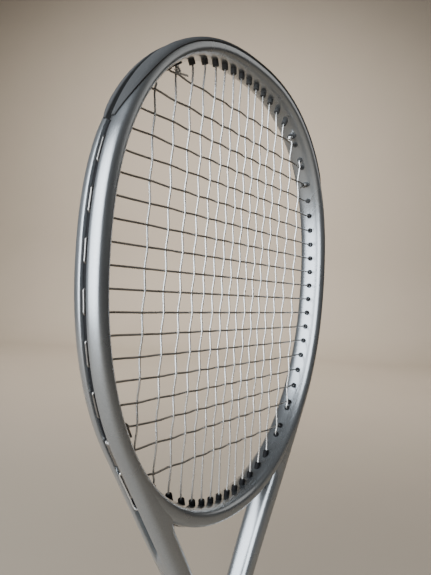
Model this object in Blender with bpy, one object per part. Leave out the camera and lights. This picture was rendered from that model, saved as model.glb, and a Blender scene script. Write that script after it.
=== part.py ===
"""Tennis racket, 27 inches long, with a 98 square inch head strung 16 by 19.

The racket stands on its butt end: Z runs up its length, X across its face, and its front looks along -Y.
"""

import math
from collections import namedtuple

import bmesh
import bpy
import numpy as np
from mathutils import Matrix, Vector

# Overall sizes, in metres
LENGTH = 0.685
HEAD_HALF_WIDTH = 0.121
HEAD_UPPER = 0.150
HEAD_LOWER = 0.1705
UPPER_SQUARENESS = 2.33
LOWER_SQUARENESS = 2.12

# Beam of the hoop and the shafts
BEAM_WIDTH = 0.0116
BEAM_DEPTH = 0.0243
BEAM_SQUARENESS = 3.0
SHAFT_WIDTH = 0.0140
SHAFT_SLOPE = 0.55
SHAFT_UPPER_PULL = 0.120
SHAFT_LOWER_PULL = 0.050
LEG_WIDTH = 0.0120
LEG_DEPTH = 0.0180
LEG_SPACE = 0.0006
LEG_TOP = 0.205
LEG_FOOT = 0.012
STATION_STEP = 0.0150
SHAFT_STEP = 0.022

# String channel round the outer side of the beam
LANE_CLEAR = 0.000225
CHANNEL_DEPTH = 0.0032
CHANNEL_CHAMFER = 0.0008
CHANNEL_DRAFT = 0.0002
CHANNEL_TAIL = 0.036
CHANNEL_RAMP = 0.008

# Throat bridge
BRIDGE_WIDTH = 0.0125
BRIDGE_DEPTH = 0.0226
BRIDGE_GROOVE = 0.0012
BRIDGE_TOE = 0.0020
BRIDGE_STEPS = 12
THROAT_FOCUS = 0.200

# Bumper guard and grommet strips
BUMPER_THICKNESS = 0.0013
BUMPER_EDGE = 0.0005
BUMPER_HALF_COVER = 0.0115
BUMPER_TIP_COVER = 0.0056
BUMPER_TAPER = 0.080
BUMPER_WALL = 0.0005
BUMPER_FOOT = 0.0040
BUMPER_SEAT = 0.0013
BUMPER_TIP_SEAT = 0.0004
BUMPER_SEAT_RAMP = 0.0060
STRIP_THICKNESS = 0.0008
STRIP_TAIL = 0.0040
BORE_CLEAR = 0.000375
BARREL_WALL = 0.0007
BARREL_SIDES = 6
LONG_LIP = 0.0035
SHORT_LIP = 0.0012
SHARED_CLEAR = 0.0004

# Strings
STRING_DIAMETER = 0.00125
MAINS = 16
MAIN_PITCH = 0.00985
MAIN_LAST_PITCH = 0.0166
MAIN_SPREAD_POWER = 3
CROSSES = 19
CROSS_PITCH = 0.0132
CROSS_SPREAD = 0.0010
CROSS_FIRST_GAP = 0.0168
CROSS_LAST_GAP = 0.0189
CROSS_DROP = 0.0288
BUMPER_CROSSES = 4
OUTER_MAINS = 2
WEAVE_GAP = 0.00045
STRING_SPACE = 0.0005
RUN_STEP = 0.009
CORNER_REACH = 0.0008
LANE_REACH = 0.0026
KNOT_SWELL = 1.6
KNOT_DROP = 0.0016
KNOT_LENGTH = 0.0022
KNOT_FRONT = 0.0018

# Handle
HANDLE_WIDTH = 0.0310
HANDLE_DEPTH = 0.0270
HANDLE_BEVEL = 0.0065
PALLET_FOOT = 0.006
PALLET_TOP = 0.194
PALLET_TAPER = 0.010
PALLET_TAPER_DEPTH = 0.0014
CAP_FLARE = 0.0050
CAP_FLARE_FOOT = 0.005
CAP_FLARE_TOP = 0.016
CAP_EDGE = 0.0015
CAP_HEIGHT = 0.028
CAP_WALL = 0.0014
CAP_FLOOR = 0.0035
STAPLE_WIRE = 0.0009
STAPLE_CROWN = 0.008
STAPLE_LEG = 0.0045
STAPLE_HEIGHT = 0.0215
GRIP_FOOT = 0.0125
GRIP_TOP = 0.186
GRIP_THICKNESS = 0.0014
GRIP_RIDGE = 0.0006
GRIP_PITCH = 0.022
GRIP_RISE = 0.16
GRIP_RINGS = 36
GRIP_TAPER = 0.010
TAPE_WIDTH = 0.012
TAPE_THICKNESS = 0.0005
COLLAR_LOWER = 0.010
COLLAR_HEIGHT = 0.024
COLLAR_WALL = 0.0012
COLLAR_NECK = 0.0008

# Clearance between pieces that touch
GAP = 0.0003
TINY = 0.00005

Station = namedtuple("Station", "point normal inner outer half_depth groove")
End = namedtuple("End", "wall direction lip top run place track side own")


def signed_power(value, power):
    """A value raised to a power with its sign kept."""
    return math.copysign(abs(value) ** power, value)


def outline_half_width(half_width, half_depth, y):
    """Half width of the rounded beam section at a height y across it."""
    share = min(abs(y) / half_depth, 1.0)
    return half_width * (1 - share**BEAM_SQUARENESS) ** (1 / BEAM_SQUARENESS)


STRING_RADIUS = STRING_DIAMETER / 2
LANE = STRING_DIAMETER + STRING_SPACE
SHARED_OFFSET = LANE / 2
BARREL_BORE = STRING_RADIUS + BORE_CLEAR
BARREL_RADIUS = BARREL_BORE + BARREL_WALL
SHARED_STRETCH = (SHARED_OFFSET + STRING_RADIUS + SHARED_CLEAR) / BARREL_BORE
CHANNEL_WIDTH = 2 * (LANE + STRING_RADIUS + LANE_CLEAR + BUMPER_WALL + GAP + CHANNEL_DRAFT)
FLANGE = CHANNEL_WIDTH / 2 + CHANNEL_CHAMFER
FLANGE_REACH = outline_half_width(BEAM_WIDTH / 2 - BUMPER_SEAT, BEAM_DEPTH / 2, FLANGE)
HEAD_CENTRE = LENGTH - BUMPER_THICKNESS - GAP - FLANGE_REACH - BEAM_WIDTH / 2 - HEAD_UPPER
BASE_TOP = GAP + STRIP_THICKNESS - CHANNEL_DEPTH
RUN_LEVEL = BASE_TOP + GAP + STRING_RADIUS
WEAVE = (STRING_DIAMETER + WEAVE_GAP) / 2


def hoop_wall(angle):
    """Point of the hoop's inner wall at an angle up from +X."""
    cosine = math.cos(angle)
    sine = math.sin(angle)
    squareness = UPPER_SQUARENESS if sine > 0 else LOWER_SQUARENESS
    reach = HEAD_UPPER if sine > 0 else HEAD_LOWER
    x = HEAD_HALF_WIDTH * signed_power(cosine, 2 / squareness)
    z = HEAD_CENTRE + reach * signed_power(sine, 2 / squareness)
    return Vector((x, z))


def hoop_normal(angle):
    """Outward direction of the hoop's inner wall at an angle up from +X."""
    point = hoop_wall(angle)
    upper = point.y > HEAD_CENTRE
    squareness = UPPER_SQUARENESS if upper else LOWER_SQUARENESS
    reach = HEAD_UPPER if upper else HEAD_LOWER
    across = signed_power(point.x / HEAD_HALF_WIDTH, squareness - 1) / HEAD_HALF_WIDTH
    along = signed_power((point.y - HEAD_CENTRE) / reach, squareness - 1) / reach
    return Vector((across, along)).normalized()


def inside_hoop(point):
    """Whether a point lies inside the hoop's inner wall."""
    upper = point.y > HEAD_CENTRE
    squareness = UPPER_SQUARENESS if upper else LOWER_SQUARENESS
    reach = HEAD_UPPER if upper else HEAD_LOWER
    across = abs(point.x / HEAD_HALF_WIDTH) ** squareness
    return across + abs((point.y - HEAD_CENTRE) / reach) ** squareness < 1


def smooth_share(value, low, high):
    """Smooth step from 0 at low to 1 at high."""
    share = min(max((value - low) / (high - low), 0.0), 1.0)
    return share * share * (3 - 2 * share)


def mix(low, high, share):
    return low + (high - low) * share


class Track:
    """A smooth line in the racket's plane, read by its length from the middle; the left half is mirrored."""

    def __init__(self, points):
        self.points = points
        self.lengths = [0.0]
        for before, after in zip(points, points[1:]):
            self.lengths.append(self.lengths[-1] + (after - before).length)
        self.total = self.lengths[-1]

    def at(self, place):
        """Point and outward normal at a signed length along the line."""
        reach = min(abs(place), self.total)
        index = int(np.searchsorted(self.lengths, reach, side="right")) - 1
        index = min(index, len(self.points) - 2)
        step = self.points[index + 1] - self.points[index]
        share = (reach - self.lengths[index]) / (self.lengths[index + 1] - self.lengths[index])
        point = self.points[index] + step * share
        before = self.points[max(index - 1, 0)]
        after = self.points[min(index + 2, len(self.points) - 1)]
        tangent = (after - before).normalized()
        if reach < TINY:
            tangent = Vector((1.0, 0.0))
        normal = Vector((-tangent.y, tangent.x))
        if place < 0:
            return Vector((-point.x, point.y)), Vector((-normal.x, normal.y))
        return point, normal

    def meet(self, start, direction):
        """Distance along a ray to this line, and the line's length there."""
        across = Vector((-direction.y, direction.x))
        for index, (before, after) in enumerate(zip(self.points, self.points[1:])):
            low = (before - start).dot(across)
            high = (after - start).dot(across)
            if low * high > 0 or low == high:
                continue
            share = low / (low - high)
            distance = (before + (after - before) * share - start).dot(direction)
            if distance > 0:
                return distance, self.lengths[index] + share * (after - before).length
        raise ValueError("a drilled hole misses the outer side of the beam")


def beam_centre_line():
    """Right half of the hairpin tube's centre line, from the top of the head to the foot of its leg."""
    points = []
    steps = 400
    for step in range(steps):
        angle = math.pi / 2 - math.pi * step / steps
        normal = hoop_normal(angle)
        if angle < 0 and -normal.y > SHAFT_SLOPE * normal.x:
            break
        points.append(hoop_wall(angle) + normal * (BEAM_WIDTH / 2))
    start = points[-1]
    tangent = Vector((normal.y, -normal.x))
    end = Vector(((LEG_WIDTH + LEG_SPACE) / 2, LEG_TOP))
    upper = start + tangent * SHAFT_UPPER_PULL
    lower = end + Vector((0, SHAFT_LOWER_PULL))
    bezier_steps = 80
    for step in range(1, bezier_steps + 1):
        t = step / bezier_steps
        s = 1 - t
        points.append(start * s**3 + upper * (3 * s * s * t) + lower * (3 * s * t * t) + end * t**3)
    points.append(Vector((end.x, LEG_FOOT)))
    hoop_length = Track(points[: points.index(start) + 1]).total
    return Track(points), hoop_length


CENTRE, HOOP_LENGTH = beam_centre_line()
LEG_PLACE = CENTRE.total - (LEG_TOP - LEG_FOOT)


def shaft_half_width(place):
    """Half width of the tube, which widens from the hoop into the shaft and narrows into the leg."""
    width = mix(BEAM_WIDTH, SHAFT_WIDTH, smooth_share(place, HOOP_LENGTH, (HOOP_LENGTH + LEG_PLACE) / 2))
    width = mix(width, LEG_WIDTH, smooth_share(place, LEG_PLACE - SHAFT_LOWER_PULL, LEG_PLACE))
    return width / 2


def wall_distance(place):
    """Distance from the tube's centre line in to the hoop's inner wall, below the point where they part."""
    point, normal = CENTRE.at(place)
    low = 0.0
    high = HEAD_HALF_WIDTH / 4
    for _ in range(40):
        middle = (low + high) / 2
        if inside_hoop(point - normal * middle):
            high = middle
        else:
            low = middle
    return high


def shoulder_place():
    """Length along the tube where the bridge's toe reaches its full thickness."""
    place = HOOP_LENGTH
    while wall_distance(place) - shaft_half_width(place) < BRIDGE_TOE:
        place += TINY * 10
    return place


SHOULDER = shoulder_place()


def main_positions():
    """Distances of the main strings on one side from the racket's axis, wider apart outwards."""
    half = MAINS // 2
    positions = [MAIN_PITCH / 2]
    for gap in range(1, half):
        share = (gap / (half - 1)) ** MAIN_SPREAD_POWER
        positions.append(positions[-1] + mix(MAIN_PITCH, MAIN_LAST_PITCH, share))
    return positions


def cross_positions():
    """Heights of the cross strings from the top down, wider apart at the two ends."""
    heights = [HEAD_CENTRE + HEAD_UPPER - CROSS_DROP]
    middle = CROSSES / 2
    for gap in range(1, CROSSES):
        pitch = CROSS_PITCH + CROSS_SPREAD * ((gap - middle) / (middle - 2)) ** 2
        if gap == 1:
            pitch = CROSS_FIRST_GAP
        if gap == CROSSES - 1:
            pitch = CROSS_LAST_GAP
        heights.append(heights[-1] - pitch)
    return heights


HALF_MAINS = main_positions()
MAIN_X = [-x for x in reversed(HALF_MAINS)] + HALF_MAINS
CROSS_Z = cross_positions()
QUARTER = math.pi / 2
NUDGE = 0.01


def read_x(point):
    return point.x


def read_z(point):
    return point.y


def hole_direction(angle, leaning):
    """Direction of a hole: square to the hoop, or leaning to the racket's axis in the throat."""
    if not leaning:
        return hoop_normal(angle)
    wall = hoop_wall(angle)
    return (Vector((0, wall.y - THROAT_FOCUS)) - wall).normalized()


def find_hole(low, high, reading, target, lip, leaning=False):
    """Wall point and direction, on the right half, of the hole whose barrel mouth lies on a string."""

    def miss(angle):
        mouth = hoop_wall(angle) - hole_direction(angle, leaning) * lip
        return reading(mouth) - target

    falling = miss(low) > miss(high)
    for _ in range(60):
        middle = (low + high) / 2
        if (miss(middle) > 0) == falling:
            low = middle
        else:
            high = middle
    return hoop_wall(low), hole_direction(low, leaning)


LAST_GUARDED = find_hole(NUDGE - QUARTER, QUARTER - NUDGE, read_z, CROSS_Z[BUMPER_CROSSES - 1], SHORT_LIP)
BUMPER_REACH = CENTRE.meet(*LAST_GUARDED)[1] + BUMPER_FOOT
LAST_OUTER = find_hole(-QUARTER, -NUDGE, read_x, HALF_MAINS[-OUTER_MAINS], SHORT_LIP)
STRIP_REACH = CENTRE.meet(*LAST_OUTER)[1] + STRIP_TAIL
CHANNEL_REACH = STRIP_REACH + CHANNEL_TAIL


def seat_depth(reach):
    """How far the beam's outer side is lowered at a length along it, to take the bumper."""
    if reach > BUMPER_REACH:
        return BUMPER_TIP_SEAT * (1 - smooth_share(reach, BUMPER_REACH, BUMPER_REACH + BUMPER_SEAT_RAMP))
    return mix(BUMPER_SEAT, BUMPER_TIP_SEAT, smooth_share(reach, BUMPER_REACH - BUMPER_TAPER, BUMPER_REACH))


def beam_station(place, shoulder=SHOULDER):
    """Centre, direction and section sizes of the hairpin tube at a signed length along it."""
    point, normal = CENTRE.at(place)
    reach = abs(place)
    half_width = shaft_half_width(reach)
    inner = wall_distance(reach) if HOOP_LENGTH < reach <= shoulder else half_width
    depth = mix(BEAM_DEPTH, LEG_DEPTH, smooth_share(reach, HOOP_LENGTH, LEG_PLACE))
    groove = 1 - smooth_share(reach, CHANNEL_REACH, CHANNEL_REACH + CHANNEL_RAMP)
    return Station(point, normal, inner, half_width - seat_depth(reach), depth / 2, groove)


def beam_places(shoulder=SHOULDER):
    """Lengths along the tube where a section is set, from the left leg's foot to the right one's."""
    hoop_count = round(HOOP_LENGTH / STATION_STEP)
    shaft_count = round((LEG_PLACE - HOOP_LENGTH) / SHAFT_STEP)
    half = [HOOP_LENGTH * step / hoop_count for step in range(1, hoop_count + 1)]
    half += [mix(HOOP_LENGTH, LEG_PLACE, step / shaft_count) for step in range(1, shaft_count + 1)]
    half = [place for place in half if abs(place - shoulder) > STATION_STEP / 4]
    set_places = [BUMPER_REACH, BUMPER_REACH + BUMPER_SEAT_RAMP, CHANNEL_REACH, CHANNEL_REACH + CHANNEL_RAMP]
    half = [place for place in half if min(abs(place - other) for other in set_places) > STATION_STEP / 4]
    half += [*set_places, shoulder, shoulder + TINY * 8, CENTRE.total]
    half.sort()
    return [-place for place in reversed(half)] + [0.0] + half


def beam_section(station, grown=0.0, grooved=True):
    """Closed outline of the tube as (outward, y) pairs: a rounded box with the channel in its outer side."""
    inner = station.inner + grown
    outer = station.outer + grown
    half_depth = station.half_depth + grown
    steps = 6
    front = []
    for step in range(steps - 1):
        turn = math.pi * (step + 0.5) / steps
        reach = -signed_power(math.cos(turn), 2 / BEAM_SQUARENESS)
        y = half_depth * math.sin(turn) ** (2 / BEAM_SQUARENESS)
        front.append((reach * (inner if reach < 0 else outer), -y))
    groove = station.groove if grooved else 0.0
    floor_y = CHANNEL_WIDTH / 2 - CHANNEL_DRAFT
    for y, sink in ((FLANGE, 0.0), (CHANNEL_WIDTH / 2, CHANNEL_CHAMFER), (floor_y, CHANNEL_DEPTH)):
        rim = outline_half_width(outer, half_depth, y)
        if y == floor_y:
            rim = mix(rim, outer, groove)
        front.append((rim - sink * groove, -y))
    return front + [(reach, -y) for reach, y in reversed(front)]


def in_space(point, normal, reach, y):
    """Point in space at a distance out from a point of the racket's plane."""
    return Vector((point.x + normal.x * reach, y, point.y + normal.y * reach))


def ring_of(station, section):
    return [in_space(station.point, station.normal, reach, y) for reach, y in section]


def collection_named(name):
    collection = bpy.data.collections.new(name)
    bpy.context.scene.collection.children.link(collection)
    return collection


def finish_mesh(name, shape, collection):
    """Turns a bmesh into a named object with its faces pointing out."""
    bmesh.ops.recalc_face_normals(shape, faces=shape.faces)
    mesh = bpy.data.meshes.new(name)
    shape.to_mesh(mesh)
    shape.free()
    mesh.shade_smooth()
    mesh.set_sharp_from_angle(angle=math.radians(35))
    piece = bpy.data.objects.new(name, mesh)
    collection.objects.link(piece)
    return piece


def loft(name, rings, collection, closed=False):
    """Solid through a row of rings with equal counts of points; a closed row joins its last ring to its first."""
    shape = bmesh.new()
    rows = [[shape.verts.new(point) for point in ring] for ring in rings]
    following = rows[1:] + rows[:1] if closed else rows[1:]
    for row, other in zip(rows, following):
        for index in range(len(row)):
            onward = (index + 1) % len(row)
            shape.faces.new((row[index], row[onward], other[onward], other[index]))
    if not closed:
        shape.faces.new(rows[0])
        shape.faces.new(rows[-1])
    return finish_mesh(name, shape, collection)


def as_cutter(piece):
    piece.hide_render = True
    piece.display_type = "WIRE"
    return piece


def boolean(piece, cutter, operation):
    modifier = piece.modifiers.new(cutter.name, "BOOLEAN")
    modifier.operation = operation
    modifier.solver = "EXACT"
    modifier.object = cutter


def prisms(name, ends, radius, low, high, collection):
    """Straight prisms along the drilled directions of string ends, joined in one mesh of separate bodies."""
    shape = bmesh.new()
    for end in ends:
        start = low(end)
        stop = high(end)
        middle = end.wall + end.direction * ((start + stop) / 2)
        axis = Vector((end.direction.x, 0, end.direction.y))
        across = Vector((0, 1, 0)).cross(axis)
        stretch = SHARED_STRETCH if end.own else 1.0
        turn = Matrix((across, Vector((0, stretch, 0)), axis)).transposed().to_4x4()
        bmesh.ops.create_cone(
            shape,
            cap_ends=True,
            segments=BARREL_SIDES,
            radius1=radius,
            radius2=radius,
            depth=stop - start,
            matrix=Matrix.Translation((middle.x, 0, middle.y)) @ turn,
        )
    return as_cutter(finish_mesh(name, shape, collection))


def offset_track(level):
    """Line along the beam's outer side, at a level over the flat of its channel's mouth."""
    points = []
    steps = 600
    for step in range(steps + 1):
        place = LEG_PLACE * step / steps
        station = beam_station(place)
        points.append(station.point + station.normal * (station.outer + level))
    return Track(points)


def bridge_track(level):
    """Line along the underside of the bridge, at a level below its lower face."""
    points = []
    steps = 200
    for step in range(steps + 1):
        angle = -math.pi / 2 + (math.pi / 2) * step / steps
        points.append(hoop_wall(angle) + hoop_normal(angle) * (BRIDGE_WIDTH + level))
    return Track(points)


BRIDGE_BASE_TOP = GAP + STRIP_THICKNESS - BRIDGE_GROOVE
SIDE_TOP = offset_track(BASE_TOP)
SIDE_RUN = offset_track(RUN_LEVEL)
BRIDGE_TOP = bridge_track(BRIDGE_BASE_TOP)
BRIDGE_RUN = bridge_track(BRIDGE_BASE_TOP + 2 * GAP + STRING_RADIUS)


def string_end(low, high, reading, target, lip, side, leaning=False, own=0.0):
    """Drilled hole whose barrel mouth lies on a string; side -1 mirrors it to the left half."""
    wall, direction = find_hole(low, high, reading, target, lip, leaning)
    top_track, run_track = (BRIDGE_TOP, BRIDGE_RUN) if leaning else (SIDE_TOP, SIDE_RUN)
    top, _ = top_track.meet(wall, direction)
    run, place = run_track.meet(wall, direction)
    wall = Vector((wall.x * side, wall.y))
    direction = Vector((direction.x * side, direction.y))
    return End(wall, direction, lip, top, run, place * side, run_track, side, own)


def make_ends():
    """String ends in order: mains' tops and feet from left to right, crosses' left and right from the top."""
    tops = []
    feet = []
    for number, x in enumerate(MAIN_X):
        side = 1 if x > 0 else -1
        outward = min(number, MAINS - 1 - number)
        short = outward < OUTER_MAINS
        lip = SHORT_LIP if short else LONG_LIP
        own = SHARED_OFFSET if outward == 1 else 0.0
        tops.append(string_end(NUDGE, QUARTER, read_x, abs(x), lip, side, own=own))
        feet.append(string_end(-QUARTER, -NUDGE, read_x, abs(x), lip, side, leaning=not short))
    lefts = []
    rights = []
    for number, z in enumerate(CROSS_Z):
        left_own = SHARED_OFFSET if number == CROSSES - 3 else 0.0
        right_own = -SHARED_OFFSET if number == 2 else 0.0
        lefts.append(string_end(NUDGE - QUARTER, QUARTER - NUDGE, read_z, z, SHORT_LIP, -1, own=left_own))
        rights.append(string_end(NUDGE - QUARTER, QUARTER - NUDGE, read_z, z, SHORT_LIP, 1, own=right_own))
    return tops, feet, lefts, rights


TOPS, FEET, LEFTS, RIGHTS = make_ends()


def make_frame(parts, cutters):
    """Hairpin tube of the hoop and shafts, drilled for every string end that passes through it."""
    stations = [beam_station(place) for place in beam_places()]
    frame = loft("frame", [ring_of(s, beam_section(s)) for s in stations], parts)
    ends = TOPS + FEET[:OUTER_MAINS] + FEET[-OUTER_MAINS:] + LEFTS + RIGHTS
    boolean(frame, hole_cutter("frame_holes", ends, cutters), "DIFFERENCE")
    return frame


def hole_cutter(name, ends, cutters):
    """Drill for string ends, from inside the hoop out into the channel."""

    def low(end):
        return -end.lip

    def high(end):
        return end.top + STRIP_THICKNESS

    return prisms(name, ends, BARREL_RADIUS + GAP, low, high, cutters)


def make_bridge(parts, cutters):
    """Beam that closes the hoop over the throat, cut back to the inner sides of the tube."""
    point, normal = CENTRE.at(SHOULDER - STATION_STEP / 2)
    toe = point - normal * wall_distance(SHOULDER - STATION_STEP / 2)
    last = -QUARTER
    while hoop_wall(last).x < toe.x:
        last += NUDGE
    rings = []
    for step in range(-BRIDGE_STEPS, BRIDGE_STEPS + 1):
        angle = -QUARTER + (last + QUARTER) * step / BRIDGE_STEPS
        half_width = BRIDGE_WIDTH / 2
        normal = hoop_normal(angle)
        centre = hoop_wall(angle) + normal * half_width
        groove = BRIDGE_GROOVE / CHANNEL_DEPTH
        station = Station(centre, normal, half_width, half_width, BRIDGE_DEPTH / 2, groove)
        rings.append(ring_of(station, beam_section(station)))
    bridge = loft("throat_bridge", rings, parts)
    boolean(bridge, tube_cutter("bridge_seat", cutters), "DIFFERENCE")
    ends = FEET + LEFTS[-1:] + RIGHTS[-1:]
    boolean(bridge, hole_cutter("bridge_holes", ends, cutters), "DIFFERENCE")
    return bridge


def tube_cutter(name, cutters):
    """The hairpin tube grown by the clearance, without its channel."""
    shoulder = SHOULDER + GAP
    stations = [beam_station(place, shoulder) for place in beam_places(shoulder)]
    stations[0] = stations[0]._replace(point=stations[0].point - Vector((0, GAP)))
    stations[-1] = stations[-1]._replace(point=stations[-1].point - Vector((0, GAP)))
    rings = [ring_of(s, beam_section(s, GAP, grooved=False)) for s in stations]
    return as_cutter(loft(name, rings, cutters))


def add_barrels(strip, ends, cutters):
    """Joins a hollow barrel for each string end to a strip."""

    def root(end):
        return end.top - STRIP_THICKNESS / 2

    def mouth(end):
        return -end.lip

    def over(end):
        return end.top + STRIP_THICKNESS * 2

    def beyond(end):
        return -end.lip - STRIP_THICKNESS

    barrels = prisms(strip.name + "_barrels", ends, BARREL_RADIUS, mouth, root, cutters)
    bores = prisms(strip.name + "_bores", ends, BARREL_BORE, beyond, over, cutters)
    boolean(strip, barrels, "UNION")
    boolean(strip, bores, "DIFFERENCE")


def places_between(first, last):
    """The tube's own section places between two lengths along it, with both ends."""
    inner = [place for place in beam_places() if first + TINY * 20 < place < last - TINY * 20]
    return [first] + inner + [last]


def make_bumper(parts, cutters):
    """Guard over the top of the hoop: a skin on the beam's shoulders that dips into the channel."""
    reach = BUMPER_REACH
    rings = []
    for place in places_between(-reach, reach):
        station = beam_station(place)
        share = smooth_share(abs(place), reach - BUMPER_TAPER, reach)
        cover = mix(BUMPER_HALF_COVER, BUMPER_TIP_COVER, share)
        middle = mix(FLANGE, cover, 0.74)
        wall = CHANNEL_WIDTH / 2 - GAP
        foot = wall - CHANNEL_DRAFT
        floor = station.outer - CHANNEL_DEPTH + GAP

        def skin(y, lift):
            return outline_half_width(station.outer, station.half_depth, y) + GAP + lift

        rim = skin(FLANGE, 0)
        under = [(skin(cover, 0), cover), (skin(middle, 0), middle), (rim, FLANGE), (rim, wall), (floor, foot)]
        inner = foot - BUMPER_WALL
        top = [
            (floor + STRIP_THICKNESS, inner),
            (rim + BUMPER_THICKNESS, inner + CHANNEL_DRAFT),
            (skin(middle, BUMPER_THICKNESS), middle),
            (skin(cover, BUMPER_EDGE), cover),
        ]
        front = [(out, -y) for out, y in under]
        back = [(out, y) for out, y in reversed(under)]
        lid = top[::-1] + [(out, -y) for out, y in top]
        rings.append(ring_of(station, front + back + lid))
    bumper = loft("bumper_guard", rings, parts)
    add_barrels(bumper, TOPS + LEFTS[:BUMPER_CROSSES] + RIGHTS[:BUMPER_CROSSES], cutters)
    return bumper


def strip_ring(station, low, high, half_width):
    section = ((low, -half_width), (low, half_width), (high, half_width), (high, -half_width))
    return ring_of(station, section)


def make_side_strip(name, ends, feet, parts, cutters):
    """Strip in the channel from the bumper's tip to the shaft, with barrels for its string ends."""
    side = ends[0].side
    first = BUMPER_REACH + 2 * GAP
    last = STRIP_REACH
    half_width = CHANNEL_WIDTH / 2 - CHANNEL_DRAFT - GAP
    rings = []
    for place in places_between(first, last):
        station = beam_station(place * side)
        low = station.outer - CHANNEL_DEPTH + GAP
        rings.append(strip_ring(station, low, low + STRIP_THICKNESS, half_width))
    strip = loft(name, rings, parts)
    add_barrels(strip, ends + feet, cutters)
    return strip


def make_throat_strip(parts, cutters):
    """Strip in the groove under the bridge, with long barrels for the inner mains."""
    ends = FEET[OUTER_MAINS:-OUTER_MAINS]
    reach = ends[-1].place + STRIP_TAIL / 2
    half_width = CHANNEL_WIDTH / 2 - CHANNEL_DRAFT - GAP
    low = BRIDGE_WIDTH - BRIDGE_GROOVE + GAP
    rings = []
    spread = -QUARTER
    while hoop_wall(spread).x < BRIDGE_RUN.at(reach)[0].x - BRIDGE_WIDTH / 4:
        spread += NUDGE / 4
    for step in range(-BRIDGE_STEPS, BRIDGE_STEPS + 1):
        angle = -QUARTER + (spread + QUARTER) * step / BRIDGE_STEPS
        station = Station(hoop_wall(angle), hoop_normal(angle), 0, 0, 0, 0)
        rings.append(strip_ring(station, low, low + STRIP_THICKNESS, half_width))
    strip = loft("grommet_strip_throat", rings, parts)
    add_barrels(strip, ends, cutters)
    return strip


def mouth_point(end, y):
    """Where a string leaves the barrel inside the hoop."""
    point = end.wall - end.direction * (end.lip + GAP)
    return Vector((point.x, y, point.y))


def corner_point(end, y):
    """Where a string, coming out through a barrel, starts to turn along the channel."""
    point = end.wall + end.direction * (end.run - CORNER_REACH)
    return Vector((point.x, y, point.y))


def run_points(start, stop, lane, start_y, stop_y):
    """A string's way along the channel from one hole to the next, in a lane beside the others."""
    onward = math.copysign(1.0, stop.place - start.place)
    span = abs(stop.place - start.place)
    count = max(1, round((span - 2 * LANE_REACH) / RUN_STEP))
    places = [(start.place + onward * CORNER_REACH, mix(start_y, lane, 0.4))]
    for step in range(count + 1):
        share = step / count
        low = start.place + onward * LANE_REACH
        high = stop.place - onward * LANE_REACH
        places.append((mix(low, high, share), lane))
    places.append((stop.place - onward * CORNER_REACH, mix(stop_y, lane, 0.4)))
    route = [corner_point(start, start_y)]
    for place, y in places:
        point, _ = start.track.at(place)
        route.append(Vector((point.x, y, point.y)))
    route.append(corner_point(stop, stop_y))
    return route


def knot_points(end, y, tail):
    """A tied-off end inside the hoop: a short swelling beside the string it is tied to, then a cut tail."""
    front = math.copysign(KNOT_FRONT, y)
    inward = -end.direction
    route = [(mouth_point(end, y), 1.0)]
    for drop, swell in ((KNOT_DROP * 0.7, 1.0), (KNOT_DROP, KNOT_SWELL), (KNOT_DROP + KNOT_LENGTH, KNOT_SWELL)):
        point = end.wall + inward * (end.lip + drop)
        route.append((Vector((point.x, front, point.y)), swell))
    last = route[-1][0]
    route.append((last + tail * 0.15, 1.0))
    route.append((last + tail, 1.0))
    return route


def weave_sign(main, cross):
    """-1 where the main string passes in front of the cross string, +1 where it passes behind."""
    return 1 if (main + cross) % 2 == 1 else -1


def main_route():
    """The main string: tied off at each upper corner, up and down the head in turn."""
    shared = TOPS[1]
    first = knot_points(shared, -SHARED_OFFSET, Vector((0.008, 0.0, 0.0005)))
    route = list(reversed(first))
    route += [(p, 1.0) for p in run_points(shared, TOPS[0], -LANE, -SHARED_OFFSET, 0.0)]
    for number, x in enumerate(MAIN_X):
        top = TOPS[number]
        foot = FEET[number]
        field = [Vector((x, weave_sign(number, c) * WEAVE, z)) for c, z in enumerate(CROSS_Z)]
        lowest = mouth_point(foot, 0.0).z
        highest = mouth_point(top, 0.0).z
        field = [point for point in field if lowest + CORNER_REACH < point.z < highest - CORNER_REACH]
        line = [mouth_point(top, top.own)] + field + [mouth_point(foot, 0.0)]
        downward = number % 2 == 0
        route += [(p, 1.0) for p in (line if downward else reversed(line))]
        if number == MAINS - 1:
            break
        ends, ys = (FEET, (0.0, 0.0)) if downward else (TOPS, (top.own, TOPS[number + 1].own))
        outer = downward and number in (0, MAINS - 2)
        route += [(p, 1.0) for p in run_points(ends[number], ends[number + 1], LANE if outer else 0.0, *ys)]
    shared = TOPS[-2]
    route += [(p, 1.0) for p in run_points(TOPS[-1], shared, -LANE, 0.0, -SHARED_OFFSET)]
    return route + knot_points(shared, -SHARED_OFFSET, Vector((0.005, 0.0, 0.001)))


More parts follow.
